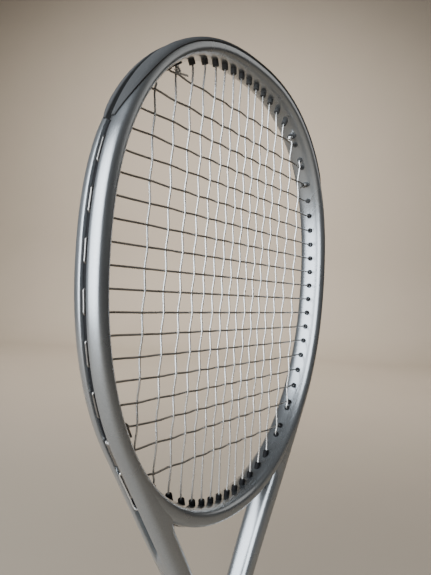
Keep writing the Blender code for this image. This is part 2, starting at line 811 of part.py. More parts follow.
def cross_route():
    """The cross string: from its first knot on the right, side to side down the head, to its last on the left."""
    shared = RIGHTS[2]
    first = knot_points(shared, SHARED_OFFSET, Vector((-0.003, 0.0, -0.003)))
    route = list(reversed(first))
    route += [(p, 1.0) for p in run_points(shared, RIGHTS[0], LANE, SHARED_OFFSET, 0.0)]
    for number, z in enumerate(CROSS_Z):
        left = LEFTS[number]
        right = RIGHTS[number]
        field = [Vector((x, -weave_sign(m, number) * WEAVE, z)) for m, x in enumerate(MAIN_X)]
        lowest = mouth_point(left, 0.0).x
        highest = mouth_point(right, 0.0).x
        field = [point for point in field if lowest + CORNER_REACH < point.x < highest - CORNER_REACH]
        line = [mouth_point(left, left.own)] + field + [mouth_point(right, right.own)]
        leftward = number % 2 == 0
        route += [(p, 1.0) for p in (reversed(line) if leftward else line)]
        if number == CROSSES - 1:
            break
        ends = LEFTS if leftward else RIGHTS
        lane = 0.0
        if leftward and number == 0:
            lane = LANE
        if not leftward and number == CROSSES - 2:
            lane = -LANE
        route += [
            (p, 1.0)
            for p in run_points(ends[number], ends[number + 1], lane, ends[number].own, ends[number + 1].own)
        ]
    shared = LEFTS[-3]
    route += [(p, 1.0) for p in run_points(LEFTS[-1], shared, -LANE, 0.0, -SHARED_OFFSET)]
    return route + knot_points(shared, -SHARED_OFFSET, Vector((0.002, 0.0, -0.006)))


def make_string(name, route, parts):
    """One unbroken string as a faceted tube along its route."""
    data = bpy.data.curves.new(name, "CURVE")
    data.dimensions = "3D"
    data.bevel_depth = STRING_RADIUS
    data.bevel_resolution = 0
    data.use_fill_caps = True
    spline = data.splines.new("POLY")
    spline.points.add(len(route) - 1)
    for target, (point, swell) in zip(spline.points, route):
        target.co = (*point, 1.0)
        target.radius = swell
    piece = bpy.data.objects.new(name, data)
    parts.objects.link(piece)
    return piece


def sampled(route):
    """Points every millimetre along a route, with the tube's radius and the length so far."""
    step = 0.001
    rows = []
    length = 0.0
    for (before, low), (after, high) in zip(route, route[1:]):
        span = (after - before).length
        count = max(1, math.ceil(span / step))
        for index in range(count):
            share = index / count
            point = before.lerp(after, share)
            rows.append((*point, STRING_RADIUS * mix(low, high, share), length + span * share))
        length += span
    return np.array(rows)


def least_gap(first, second, apart):
    """Least clear distance between two sampled tubes, leaving out points near each other along one tube."""
    least = 1.0
    for start in range(0, len(first), 400):
        rows = first[start : start + 400]
        distance = np.linalg.norm(rows[:, None, :3] - second[None, :, :3], axis=2)
        distance -= rows[:, None, 3] + second[None, :, 3]
        if apart:
            near = np.abs(rows[:, None, 4] - second[None, :, 4]) < apart
            distance[near] = 1.0
        least = min(least, float(distance.min()))
    return least


def octagon(half_width, half_depth, bevel):
    """Corners of a bevelled rectangle, in order round it."""
    x, y = half_width, half_depth
    quarter = ((x, y - bevel), (x - bevel, y))
    right = [(x, -(y - bevel)), *quarter]
    left = [(-(x - bevel), y), (-x, y - bevel), (-x, -(y - bevel))]
    return right + left + [(-(x - bevel), -y), (x - bevel, -y)]


def handle_ring(z, grown):
    """The handle's octagon, grown or shrunk all round, at a height."""
    bevel = HANDLE_BEVEL + grown * (2 - math.sqrt(2))
    return [Vector((x, y, z)) for x, y in octagon(HANDLE_WIDTH / 2 + grown, HANDLE_DEPTH / 2 + grown, bevel)]


def flare_at(z):
    """How far the butt cap's flare stands out from the handle at a height."""
    if z <= CAP_FLARE_FOOT:
        return CAP_FLARE
    if z >= CAP_FLARE_TOP:
        return 0.0
    return CAP_FLARE * (CAP_FLARE_TOP - z) / (CAP_FLARE_TOP - CAP_FLARE_FOOT)


def make_pallet(name, side, parts, cutters):
    """Half of the handle, shaped round the tube's legs and set back at its foot for the butt cap."""
    back = -CAP_WALL - GAP
    levels = (
        (PALLET_FOOT, back),
        (CAP_HEIGHT + GAP, back),
        (CAP_HEIGHT + GAP + TINY, 0.0),
        (PALLET_TOP - PALLET_TAPER, 0.0),
        (PALLET_TOP, -PALLET_TAPER_DEPTH),
    )
    rings = []
    for z, grown in levels:
        ring = [point for point in handle_ring(z, grown) if point.y * side > 0]
        ring.sort(key=read_x)
        rim = HANDLE_WIDTH / 2 + grown
        ring = [Vector((-rim, side * GAP / 2, z)), *ring, Vector((rim, side * GAP / 2, z))]
        rings.append(ring)
    pallet = loft(name, rings, parts)
    boolean(pallet, tube_cutter(name + "_core", cutters), "DIFFERENCE")
    boolean(pallet, staple_cutter(name + "_staple", side, cutters), "DIFFERENCE")
    return pallet


def make_butt_cap(parts, cutters):
    """Flared cup over the handle's foot."""
    levels = (0.0, CAP_EDGE, CAP_FLARE_FOOT, CAP_FLARE_TOP, CAP_HEIGHT)
    rings = [handle_ring(z, flare_at(z) - (CAP_EDGE if z == 0 else 0)) for z in levels]
    cap = loft("butt_cap", rings, parts)
    cavity = (CAP_FLOOR, CAP_HEIGHT + CAP_FLOOR)
    hollow = loft("butt_cap_hollow", [handle_ring(z, -CAP_WALL) for z in cavity], cutters)
    boolean(cap, as_cutter(hollow), "DIFFERENCE")
    for side in (-1, 1):
        boolean(cap, staple_cutter(f"butt_cap_staple_{side + 1}", side, cutters), "DIFFERENCE")
    return cap


def staple_outline(grown):
    """A staple's side view as (depth from the handle's face, height) pairs."""
    wire = STAPLE_WIRE + 2 * grown
    top = grown - GAP
    low = -STAPLE_LEG - grown
    half = STAPLE_CROWN / 2 + grown
    crown = top - wire
    right = [(top, half), (low, half), (low, half - wire), (crown, half - wire)]
    return right + [(depth, -height) for depth, height in reversed(right)]


def staple_solid(name, side, grown, lift, collection):
    """Staple across the butt cap's skirt, its crown upright on the handle's middle line."""
    half = STAPLE_WIRE / 2 + grown
    rings = []
    for x in (-half, half):
        ring = []
        for depth, height in staple_outline(grown):
            raised = lift if depth > -STAPLE_WIRE / 2 else 0.0
            y = side * (HANDLE_DEPTH / 2 + depth + raised)
            ring.append(Vector((x, y, STAPLE_HEIGHT + height)))
        rings.append(ring)
    return loft(name, rings, collection)


def staple_cutter(name, side, cutters):
    return as_cutter(staple_solid(name, side, GAP, CAP_WALL, cutters))


def wrap_outer(z, share_round):
    """How far the wound grip's outer side stands out from the handle at a height and a share of a turn."""
    phase = (z / GRIP_PITCH - share_round) % 1.0
    ridge = phase / GRIP_RISE if phase < GRIP_RISE else (1 - phase) / (1 - GRIP_RISE)
    level = smooth_share(z, GRIP_TOP - GRIP_TAPER - TAPE_WIDTH, GRIP_TOP - TAPE_WIDTH)
    return flare_at(z) + GAP + GRIP_THICKNESS + GRIP_RIDGE * ridge * (1 - level)


def round_ring(z, reach):
    """Sixteen points round the handle: its corners and the middles of its flats, each moved out."""
    count = 16
    ring = []
    for index in range(count):
        outer = handle_ring(z, reach(index / count))
        corner = outer[index // 2]
        onward = outer[(index // 2 + 1) % len(outer)]
        ring.append(corner if index % 2 == 0 else (corner + onward) / 2)
    return ring


def make_grip(parts):
    """Grip tape wound up the handle: a sleeve whose outer side steps up along a helix."""
    rings = []
    for step in range(GRIP_RINGS + 1):
        z = mix(GRIP_FOOT, GRIP_TOP, step / GRIP_RINGS)
        rings.append(round_ring(z, lambda share, z=z: wrap_outer(z, share)))
    inner_levels = (GRIP_TOP, CAP_FLARE_TOP, GRIP_FOOT)
    for z in inner_levels:
        rings.append(round_ring(z, lambda share, z=z: flare_at(z) + GAP))
    return loft("grip_wrap", rings, parts, closed=True)


def sleeve(name, profile, parts):
    """Octagonal ring through a closed profile of (height, distance out from the handle) pairs."""
    return loft(name, [handle_ring(z, grown) for z, grown in profile], parts, closed=True)


def make_tape(parts):
    """Band of tape round the upper end of the grip."""
    inner = GRIP_THICKNESS + 2 * GAP
    outer = inner + TAPE_THICKNESS
    low = GRIP_TOP - TAPE_WIDTH + GAP
    return sleeve("finishing_tape", ((low, inner), (low, outer), (GRIP_TOP, outer), (GRIP_TOP, inner)), parts)


def make_collar(parts):
    """Rubber collar over the tape's upper half, necked in over the handle's upper end."""
    bore = GRIP_THICKNESS + TAPE_THICKNESS + 3 * GAP
    low = GRIP_TOP - COLLAR_LOWER
    step = GRIP_TOP + 2 * GAP
    top = low + COLLAR_HEIGHT
    profile = (
        (low, bore),
        (low, bore + COLLAR_WALL),
        (GRIP_TOP, bore + COLLAR_WALL),
        (top, COLLAR_NECK + COLLAR_WALL),
        (top, COLLAR_NECK),
        (step + COLLAR_WALL, COLLAR_NECK),
        (step, bore),
    )
    return sleeve("grip_collar", profile, parts)


def material(name, colour, roughness, metallic):
    """Plain finish with a colour, a roughness and a metallic value."""
    finish = bpy.data.materials.new(name)
    finish.use_nodes = True
    shader = finish.node_tree.nodes["Principled BSDF"]
    shader.inputs["Base Color"].default_value = (*colour, 1.0)
    shader.inputs["Roughness"].default_value = roughness
    shader.inputs["Metallic"].default_value = metallic
    return finish


def hang(piece, parent):
    """Parents a piece without moving it."""
    piece.parent = parent
    piece.matrix_parent_inverse = parent.matrix_world.inverted()


def main():
    for old in list(bpy.data.objects):
        bpy.data.objects.remove(old, do_unlink=True)
    parts = collection_named("tennis_racket")
    cutters = collection_named("cutters")
    paint = material("silver_paint", (0.52, 0.55, 0.58), 0.28, 0.6)
    guard = material("guard_plastic", (0.055, 0.058, 0.060), 0.5, 0.0)
    nylon = material("grommet_nylon", (0.012, 0.012, 0.013), 0.42, 0.0)
    pale_string = material("main_string_silver", (0.62, 0.61, 0.58), 0.3, 0.0)
    dark_string = material("cross_string_grey", (0.07, 0.065, 0.06), 0.35, 0.0)
    foam = material("pallet_foam", (0.55, 0.50, 0.40), 0.7, 0.0)
    cap_plastic = material("cap_plastic", (0.015, 0.015, 0.016), 0.45, 0.0)
    steel = material("staple_steel", (0.6, 0.6, 0.6), 0.3, 1.0)
    grip = material("grip_synthetic", (0.02, 0.02, 0.021), 0.75, 0.0)
    tape = material("tape_vinyl", (0.03, 0.03, 0.03), 0.4, 0.0)
    rubber = material("collar_rubber", (0.018, 0.018, 0.018), 0.65, 0.0)

    mains = main_route()
    crosses = cross_route()
    outer_left = FEET[:OUTER_MAINS]
    outer_right = FEET[-OUTER_MAINS:]
    pieces = {
        make_frame(parts, cutters): paint,
        make_bridge(parts, cutters): paint,
        make_bumper(parts, cutters): guard,
        make_side_strip("grommet_strip_left", LEFTS[BUMPER_CROSSES:], outer_left, parts, cutters): nylon,
        make_side_strip("grommet_strip_right", RIGHTS[BUMPER_CROSSES:], outer_right, parts, cutters): nylon,
        make_throat_strip(parts, cutters): nylon,
        make_string("main_string", mains, parts): pale_string,
        make_string("cross_string", crosses, parts): dark_string,
        make_pallet("handle_pallet_front", -1, parts, cutters): foam,
        make_pallet("handle_pallet_back", 1, parts, cutters): foam,
        make_butt_cap(parts, cutters): cap_plastic,
        staple_solid("butt_staple_front", -1, 0.0, 0.0, parts): steel,
        staple_solid("butt_staple_back", 1, 0.0, 0.0, parts): steel,
        make_grip(parts): grip,
        make_tape(parts): tape,
    }
    collar = make_collar(parts)
    pieces[collar] = rubber

    racket = bpy.data.objects.new("tennis_racket_root", None)
    slide = bpy.data.objects.new("collar_slide", None)
    slide.location = (0, 0, GRIP_TOP)
    for empty in (racket, slide):
        parts.objects.link(empty)
    bpy.context.view_layer.update()
    hang(slide, racket)
    for piece, finish in pieces.items():
        piece.data.materials.append(finish)
        hang(piece, slide if piece is collar else racket)

    main_tube = sampled(mains)
    cross_tube = sampled(crosses)
    apart = 0.006
    print(f"main string least gap to itself {least_gap(main_tube, main_tube, apart) * 1000:.2f} mm")
    print(f"cross string least gap to itself {least_gap(cross_tube, cross_tube, apart) * 1000:.2f} mm")
    print(f"least gap between the two strings {least_gap(main_tube, cross_tube, 0) * 1000:.2f} mm")


main()
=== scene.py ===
# %% [markdown]
# # A strung tennis racket
# The imported CAD model comes in first. It is the fixed frame: every piece made below sits where it says,
# and stands in for one of its plainer solids. The box it fills is kept.

# %% Load the imported racket
import math

import bmesh
import bpy
from mathutils import Matrix, Vector


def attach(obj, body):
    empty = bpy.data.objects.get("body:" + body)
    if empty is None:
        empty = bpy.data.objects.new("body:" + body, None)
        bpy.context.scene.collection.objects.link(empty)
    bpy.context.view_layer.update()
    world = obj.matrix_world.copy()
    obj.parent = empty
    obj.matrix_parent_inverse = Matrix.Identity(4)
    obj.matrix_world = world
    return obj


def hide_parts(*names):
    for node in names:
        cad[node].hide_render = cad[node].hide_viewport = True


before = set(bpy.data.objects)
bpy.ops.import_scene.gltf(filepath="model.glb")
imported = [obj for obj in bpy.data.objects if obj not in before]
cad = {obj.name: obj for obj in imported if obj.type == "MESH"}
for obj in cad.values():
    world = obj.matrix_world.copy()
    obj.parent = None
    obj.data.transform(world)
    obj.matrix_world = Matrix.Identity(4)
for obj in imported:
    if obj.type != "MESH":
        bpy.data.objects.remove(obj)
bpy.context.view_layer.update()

# %% [markdown]
# ## The camera
# The photograph was taken close to the head, from its front left, level with the middle of the strings.
# The string grid has known spacings, so its crossings give the lens and the place: a wide lens about 0.33
# m from the middle of the head. The three rows below are the camera's own right, down and forward.

# %% Place the camera
GRID_HEIGHT = 0.5177
CAMERA_FROM_GRID = Vector((-0.26253, -0.19900, -0.01105))
CAMERA_RIGHT = Vector((0.63620, -0.76957, 0.05488))
CAMERA_DOWN = Vector((0.04483, -0.03414, -0.99841))
CAMERA_FORWARD = Vector((0.77022, 0.63765, 0.01278))
FOCAL_PIXELS = 432.0
IMAGE_HEIGHT = 575.0
SENSOR = 36.0
NEAREST_SEEN = 0.01

camera_data = bpy.data.cameras.new("photo_camera")
camera = bpy.data.objects.new("photo_camera", camera_data)
bpy.context.scene.collection.objects.link(camera)
camera_data.sensor_width = SENSOR
camera_data.lens = SENSOR * FOCAL_PIXELS / IMAGE_HEIGHT
camera_data.clip_start = NEAREST_SEEN
turn = Matrix((CAMERA_RIGHT, -CAMERA_DOWN, -CAMERA_FORWARD)).transposed().to_4x4()
place = CAMERA_FROM_GRID + Vector((0, 0, GRID_HEIGHT))
camera.matrix_world = Matrix.Translation(place) @ turn
bpy.context.scene.camera = camera
print("camera at", [round(v, 3) for v in place], "lens", round(camera_data.lens, 2), "mm")

# %% [markdown]
# ## Helpers
# Most of the racket is a section carried along a line, so one helper lofts rings of points into a closed
# skin. Blender has no loft operator whose section changes on the way, so the rings are joined in code,
# and the usual operators then turn the faces outwards and shade the result.

# %% Loft and finishing helpers


def only(piece):
    """Selects one object and makes it the active one."""
    bpy.ops.object.select_all(action="DESELECT")
    piece.select_set(True)
    bpy.context.view_layer.objects.active = piece


def finished(piece, body="racket", stands_for=(), sharp=35):
    """Shades a piece, lets it ride on its body and hides the CAD nodes it stands for."""
    only(piece)
    bpy.ops.object.shade_smooth_by_angle(angle=math.radians(sharp))
    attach(piece, body)
    if stands_for:
        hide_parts(*stands_for)
    print(piece.name, len(piece.data.polygons), "faces")
    return piece


def loft(name, rings, closed=False):
    """Skin through rings of equally many points; a closed row of rings joins its last to its first."""
    count = len(rings[0])
    points = [tuple(point) for ring in rings for point in ring]
    faces = []
    rows = len(rings) if closed else len(rings) - 1
    for row in range(rows):
        low = row * count
        high = (row + 1) % len(rings) * count
        for step in range(count):
            onward = (step + 1) % count
            faces.append((low + step, low + onward, high + onward, high + step))
    if not closed:
        faces.append(tuple(range(count))[::-1])
        faces.append(tuple(range(len(points) - count, len(points))))
    mesh = bpy.data.meshes.new(name)
    mesh.from_pydata(points, [], faces)
    piece = bpy.data.objects.new(name, mesh)
    bpy.context.scene.collection.objects.link(piece)
    only(piece)
    bpy.ops.object.mode_set(mode="EDIT")
    bpy.ops.mesh.select_all(action="SELECT")
    bpy.ops.mesh.normals_make_consistent(inside=False)
    bpy.ops.object.mode_set(mode="OBJECT")
    return piece


def mix(low, high, share):
    """Value between two others, by its share of the way."""
    return low + (high - low) * share


def smooth_share(value, low, high):
    """Smooth step from 0 at low to 1 at high."""
    share = min(max((value - low) / (high - low), 0.0), 1.0)
    return share * share * (3 - 2 * share)


def signed_power(value, power):
    """Power of a value's size, with the value's own sign."""
    return math.copysign(abs(value) ** power, value)


# %% [markdown]
# ## The lines of the racket
# The inner wall of the hoop is a rounded oval, squarer above its widest place than below. The tube's
# centre line runs half a beam outside it, leaves it at the lower sides, and closes in to the handle along
# a smooth curve. These sizes are the CAD model's own, so the finer pieces fall on its solids.

# %% Head outline
HEAD_HALF_WIDTH = 0.121
HEAD_UPPER = 0.150
HEAD_LOWER = 0.1705
UPPER_SQUARENESS = 2.33
LOWER_SQUARENESS = 2.12
BEAM_WIDTH = 0.0116
BEAM_DEPTH = 0.0238
BEAM_SQUARENESS = 3.0
CHANNEL_WIDTH = 0.0072
CHANNEL_CHAMFER = 0.0008
BUMPER_THICKNESS = 0.0013
BUMPER_SEAT = 0.0013
GAP = 0.0003
LENGTH = 0.685


def outline_half_width(half_width, half_depth, y):
    """Half width of the rounded beam section at a height y across it."""
    share = min(abs(y) / half_depth, 1.0)
    return half_width * (1 - share**BEAM_SQUARENESS) ** (1 / BEAM_SQUARENESS)


FLANGE = CHANNEL_WIDTH / 2 + CHANNEL_CHAMFER
FLANGE_REACH = outline_half_width(BEAM_WIDTH / 2 - BUMPER_SEAT, BEAM_DEPTH / 2, FLANGE)
HEAD_CENTRE = LENGTH - BUMPER_THICKNESS - GAP - FLANGE_REACH - BEAM_WIDTH / 2 - HEAD_UPPER


def hoop_half(upper):
    """Squareness and reach of the hoop's upper or lower half."""
    return (UPPER_SQUARENESS, HEAD_UPPER) if upper else (LOWER_SQUARENESS, HEAD_LOWER)


def hoop_wall(angle):
    """Point (x, z) of the hoop's inner wall at an angle up from +X."""
    cosine, sine = math.cos(angle), math.sin(angle)
    squareness, reach = hoop_half(sine > 0)
    x = HEAD_HALF_WIDTH * signed_power(cosine, 2 / squareness)
    return Vector((x, HEAD_CENTRE + reach * signed_power(sine, 2 / squareness)))


def hoop_normal(angle):
    """Outward direction of the hoop's inner wall at an angle up from +X."""
    point = hoop_wall(angle)
    squareness, reach = hoop_half(point.y > HEAD_CENTRE)
    across = signed_power(point.x / HEAD_HALF_WIDTH, squareness - 1) / HEAD_HALF_WIDTH
    along = signed_power((point.y - HEAD_CENTRE) / reach, squareness - 1) / reach
    return Vector((across, along)).normalized()


def inside_hoop(point):
    """Whether a point of the racket's plane lies within the hoop's inner wall."""
    squareness, reach = hoop_half(point.y > HEAD_CENTRE)
    across = abs(point.x / HEAD_HALF_WIDTH) ** squareness
    return across + abs((point.y - HEAD_CENTRE) / reach) ** squareness < 1


print("middle of the head at", round(HEAD_CENTRE, 4), "m")

# %% A line that is read by its length


class Track:
    """A line in the racket's plane, read by its length from the middle; the left half is mirrored."""

    def __init__(self, points):
        self.points = points
        self.lengths = [0.0]
        for before, after in zip(points, points[1:]):
            self.lengths.append(self.lengths[-1] + (after - before).length)
        self.total = self.lengths[-1]

    def at(self, place):
        """Point and outward normal at a signed length along the line."""
        reach = min(abs(place), self.total)
        low, high = 0, len(self.points) - 2
        while low < high:
            middle = (low + high + 1) // 2
            if self.lengths[middle] <= reach:
                low = middle
            else:
                high = middle - 1
        step = self.points[low + 1] - self.points[low]
        share = (reach - self.lengths[low]) / (self.lengths[low + 1] - self.lengths[low])
        point = self.points[low] + step * share
        here = self.points[low + 1] - self.points[max(low - 1, 0)]
        there = self.points[min(low + 2, len(self.points) - 1)] - self.points[low]
        tangent = here.normalized().lerp(there.normalized(), share).normalized()
        if low == 0:
            tangent = Vector((1, 0)).lerp(there.normalized(), share).normalized()
        normal = Vector((-tangent.y, tangent.x))
        if place < 0:
            return Vector((-point.x, point.y)), Vector((-normal.x, normal.y))
        return point, normal

    def meet(self, start, direction):
        """Distance along a ray to this line, and the line's length there."""
        across = Vector((-direction.y, direction.x))
        for index, (before, after) in enumerate(zip(self.points, self.points[1:])):
            low = (before - start).dot(across)
            high = (after - start).dot(across)
            if low * high > 0 or low == high:
                continue
            share = low / (low - high)
            distance = (before + (after - before) * share - start).dot(direction)
            if distance > 0:
                return distance, self.lengths[index] + share * (after - before).length
        raise ValueError("a hole misses the outer side of the beam")


# %% Centre line of the tube
SHAFT_SLOPE = 0.55
SHAFT_UPPER_PULL = 0.120
SHAFT_LOWER_PULL = 0.050
LEG_WIDTH = 0.0120
LEG_SPACE = 0.0006
LEG_TOP = 0.205
LEG_FOOT = 0.012
HOOP_STEPS = 400
SHAFT_STEPS = 80
QUARTER = math.pi / 2


def beam_centre_line():
    """Right half of the tube's centre line, from the top of the head to the foot of its leg."""
    points = []
    for step in range(HOOP_STEPS):
        angle = QUARTER - math.pi * step / HOOP_STEPS
        normal = hoop_normal(angle)
        if angle < 0 and -normal.y > SHAFT_SLOPE * normal.x:
            break
        points.append(hoop_wall(angle) + normal * (BEAM_WIDTH / 2))
    hoop_length = Track(points).total
    start = points[-1]
    end = Vector(((LEG_WIDTH + LEG_SPACE) / 2, LEG_TOP))
    upper = start + Vector((normal.y, -normal.x)) * SHAFT_UPPER_PULL
    lower = end + Vector((0, SHAFT_LOWER_PULL))
    for step in range(1, SHAFT_STEPS + 1):
        t = step / SHAFT_STEPS
        s = 1 - t
        points.append(start * s**3 + upper * (3 * s * s * t) + lower * (3 * s * t * t) + end * t**3)
    points.append(Vector((end.x, LEG_FOOT)))
    return Track(points), hoop_length


CENTRE, HOOP_LENGTH = beam_centre_line()
LEG_PLACE = CENTRE.total - (LEG_TOP - LEG_FOOT)
print("tube half length", round(CENTRE.total, 3), "m, of which the hoop", round(HOOP_LENGTH, 3))

# %% [markdown]
# ## Where the strings go
# Sixteen mains stand nearest together in the middle, and nineteen crosses are spread over the height.
# Each string end leaves through a hole in the hoop, whose mouth lies on its string. A hole runs square
# out through the hoop, or leans to the racket's axis at the bridge. The last holes of the guard and of
# the side strips say how far those pieces reach along the tube, and so where the string channel may end.

# %% String places
MAINS = 16
CROSSES = 19
MAIN_PITCH = 0.00985
MAIN_LAST_PITCH = 0.0166
MAIN_CROWDING = 3
CROSS_PITCH = 0.0132
CROSS_SPREAD = 0.0010
CROSS_FIRST_GAP = 0.0168
CROSS_LAST_GAP = 0.0189
CROSS_DROP = 0.0288

half_mains = [MAIN_PITCH / 2]
for gap in range(1, MAINS // 2):
    outward = (gap / (MAINS // 2 - 1)) ** MAIN_CROWDING
    half_mains.append(half_mains[-1] + mix(MAIN_PITCH, MAIN_LAST_PITCH, outward))
MAIN_X = [-x for x in reversed(half_mains)] + half_mains
CROSS_Z = [HEAD_CENTRE + HEAD_UPPER - CROSS_DROP]
for gap in range(1, CROSSES):
    pitch = CROSS_PITCH + CROSS_SPREAD * ((gap - CROSSES / 2) / (CROSSES / 2 - 2)) ** 2
    pitch = CROSS_FIRST_GAP if gap == 1 else CROSS_LAST_GAP if gap == CROSSES - 1 else pitch
    CROSS_Z.append(CROSS_Z[-1] - pitch)
print("mains reach", round(MAIN_X[-1], 4), "m out, crosses go down to", round(CROSS_Z[-1], 4), "m")

# %% Holes
SHORT_LIP = 0.0012
THROAT_FOCUS = 0.200
OUTER_MAINS = 2
BUMPER_CROSSES = 4
BUMPER_FOOT = 0.0040
STRIP_TAIL = 0.0040
CHANNEL_TAIL = 0.036
NUDGE = 0.01
HOLE_HALVINGS = 60


def find_hole(low, high, axis, target, lip, leaning=False):
    """Wall point and direction, on the right half, of the hole whose mouth lies on a string."""

    def aim(angle):
        if not leaning:
            return hoop_normal(angle)
        wall = hoop_wall(angle)
        return (Vector((0, wall.y - THROAT_FOCUS)) - wall).normalized()

    def miss(angle):
        return (hoop_wall(angle) - aim(angle) * lip)[axis] - target

    falling = miss(low) > miss(high)
    for _ in range(HOLE_HALVINGS):
        middle = (low + high) / 2
        if (miss(middle) > 0) == falling:
            low = middle
        else:
            high = middle
    return hoop_wall(low), aim(low)


last_guarded = find_hole(NUDGE - QUARTER, QUARTER - NUDGE, 1, CROSS_Z[BUMPER_CROSSES - 1], SHORT_LIP)
last_outer = find_hole(-QUARTER, -NUDGE, 0, half_mains[-OUTER_MAINS], SHORT_LIP)
BUMPER_REACH = CENTRE.meet(*last_guarded)[1] + BUMPER_FOOT
STRIP_REACH = CENTRE.meet(*last_outer)[1] + STRIP_TAIL
CHANNEL_REACH = STRIP_REACH + CHANNEL_TAIL
print("guard reaches", round(BUMPER_REACH, 4), "strips", round(STRIP_REACH, 4))
print("channel reaches", round(CHANNEL_REACH, 4))

# %% [markdown]
# ## The hairpin tube
# The frame is moulded as one tube: a hoop and two shafts that run down into the handle. Its section is a
# rounded box with the string channel sunk in its outer side, between two flanges whose edges catch the
# light as thin bright lines. At the head the outer side is lowered, so that the guard lies flush, and
# below the guard the channel's lips close in. The tube could be a bevelled curve, but its section widens
# into the shafts and narrows into the handle, so it is a loft with a ring every few millimetres.

# %% Widths of the tube
SHAFT_WIDTH = 0.0140
BUMPER_TIP_SEAT = 0.0004
BUMPER_SEAT_RAMP = 0.0060
BUMPER_TAPER = 0.080
BRIDGE_WIDTH = 0.0125
FILLET_HEIGHT = 0.034
FILLET_LENGTH = 0.034
FILLET_POWER = 4.2
INNER_SWELL = 0.0024
FACET_DIP = 0.00008
WALL_HALVINGS = 40
CORNER_STEP = 0.001
CORNER_TURN = 0.005


def shaft_half_width(place):
    """Half width of the tube, which widens from the hoop into the shaft and narrows into the leg."""
    width = mix(BEAM_WIDTH, SHAFT_WIDTH, smooth_share(place, HOOP_LENGTH, (HOOP_LENGTH + LEG_PLACE) / 2))
    return mix(width, LEG_WIDTH, smooth_share(place, LEG_PLACE - SHAFT_LOWER_PULL, LEG_PLACE)) / 2


def outer_half_width(reach):
    """Half width on the outer side, lowered at the head so that the guard lies flush with the tube.

    The dip keeps the round skin inside the CAD model's flat facets.
    """
    if reach > BUMPER_REACH:
        seat = BUMPER_TIP_SEAT * (1 - smooth_share(reach, BUMPER_REACH, BUMPER_REACH + BUMPER_SEAT_RAMP))
    else:
        share = smooth_share(reach, BUMPER_REACH - BUMPER_TAPER, BUMPER_REACH)
        seat = mix(BUMPER_SEAT, BUMPER_TIP_SEAT, share)
    return shaft_half_width(reach) - seat - FACET_DIP


def wall_distance(place):
    """Distance from the tube's centre line in to the hoop's inner wall, below where they part."""
    point, normal = CENTRE.at(place)
    low, high = 0.0, HEAD_HALF_WIDTH / 4
    for _ in range(WALL_HALVINGS):
        middle = (low + high) / 2
        if inside_hoop(point - normal * middle):
            high = middle
        else:
            low = middle
    return high


def throat_corner():
    """Length along the tube where the underside of the bridge meets the inner side of the shaft."""
    angle = -QUARTER
    while True:
        point = hoop_wall(angle) + hoop_normal(angle) * BRIDGE_WIDTH
        place = HOOP_LENGTH
        while CENTRE.at(place)[0].y > point.y:
            place += CORNER_STEP
        centre, normal = CENTRE.at(place)
        if (centre - point).dot(normal) < shaft_half_width(place):
            return place
        angle += CORNER_TURN


CORNER_PLACE = throat_corner()


def inner_half_width(place):
    """Half width on the inner side: the hoop's wall first, then the shaft's own side with a soft fillet."""
    half_width = shaft_half_width(place)
    if place <= HOOP_LENGTH:
        return half_width
    start = CORNER_PLACE - FILLET_LENGTH / 3
    share = min(max((place - start) / FILLET_LENGTH, 0.0), 1.0)
    swell = INNER_SWELL * (1 - smooth_share(place, CORNER_PLACE, LEG_PLACE - SHAFT_LOWER_PULL))
    filleted = half_width + swell + FILLET_HEIGHT * (1 - share) ** FILLET_POWER
    if place < CORNER_PLACE:
        return min(wall_distance(place), filleted)
    return filleted


print("throat corner", round(CORNER_PLACE, 4), "m along the tube")

# %% Section of the tube
CHANNEL_DEPTH = 0.0032
CHANNEL_DRAFT = 0.0002
SECTION_STEPS = 16
CHAMFER_SOFTNESS = 0.3


def on_outline(turn, reach, half_depth):
    """Point (outward, y) of the rounded box in a direction, turned from outward to the front."""
    cosine, sine = math.cos(turn), math.sin(turn)
    size = (abs(cosine) ** BEAM_SQUARENESS + abs(sine) ** BEAM_SQUARENESS) ** (-1 / BEAM_SQUARENESS)
    return cosine * size * reach, -sine * size * half_depth


def turn_at(y, half_depth):
    """Direction of the rounded box's point at a height y across it, on its outer side."""
    return math.atan2(y / half_depth, outline_half_width(1, half_depth, y))


def beam_section(inner, outer, half_depth, groove, mouth):
    """Closed outline as (outward, y) pairs: a rounded box with the channel in its outer side."""
    first = turn_at(mouth + CHANNEL_CHAMFER, half_depth)
    front = []
    for step in range(SECTION_STEPS + 1):
        turn = mix(math.pi, first, step / SECTION_STEPS)
        front.append(on_outline(turn, inner if turn > QUARTER else outer, half_depth))
    rim = front[-1][0]
    soft = CHANNEL_CHAMFER * CHAMFER_SOFTNESS
    front.append((rim - soft * groove, -mouth - soft))
    front.append((rim - CHANNEL_CHAMFER * groove, -mouth))
    floor_y = mouth - CHANNEL_DRAFT
    floor = mix(outline_half_width(outer, half_depth, floor_y), outer - CHANNEL_DEPTH, groove)
    front.append((floor, -floor_y))
    return front + [(reach, -y) for reach, y in reversed(front[1:])]


def in_space(point, normal, reach, y):
    """Point in space at a distance out from a point of the racket's plane."""
    return Vector((point.x + normal.x * reach, y, point.y + normal.y * reach))


def ring_of(point, normal, section):
    """A section's outline, set square to a line of the racket's plane."""
    return [in_space(point, normal, reach, y) for reach, y in section]


# %% Frame shell
LEG_DEPTH = 0.0180
RING_STEP = 0.0035
CHANNEL_RAMP = 0.008
LIP_HALF_WIDTH = 0.0027
LIP_RAMP = 0.006


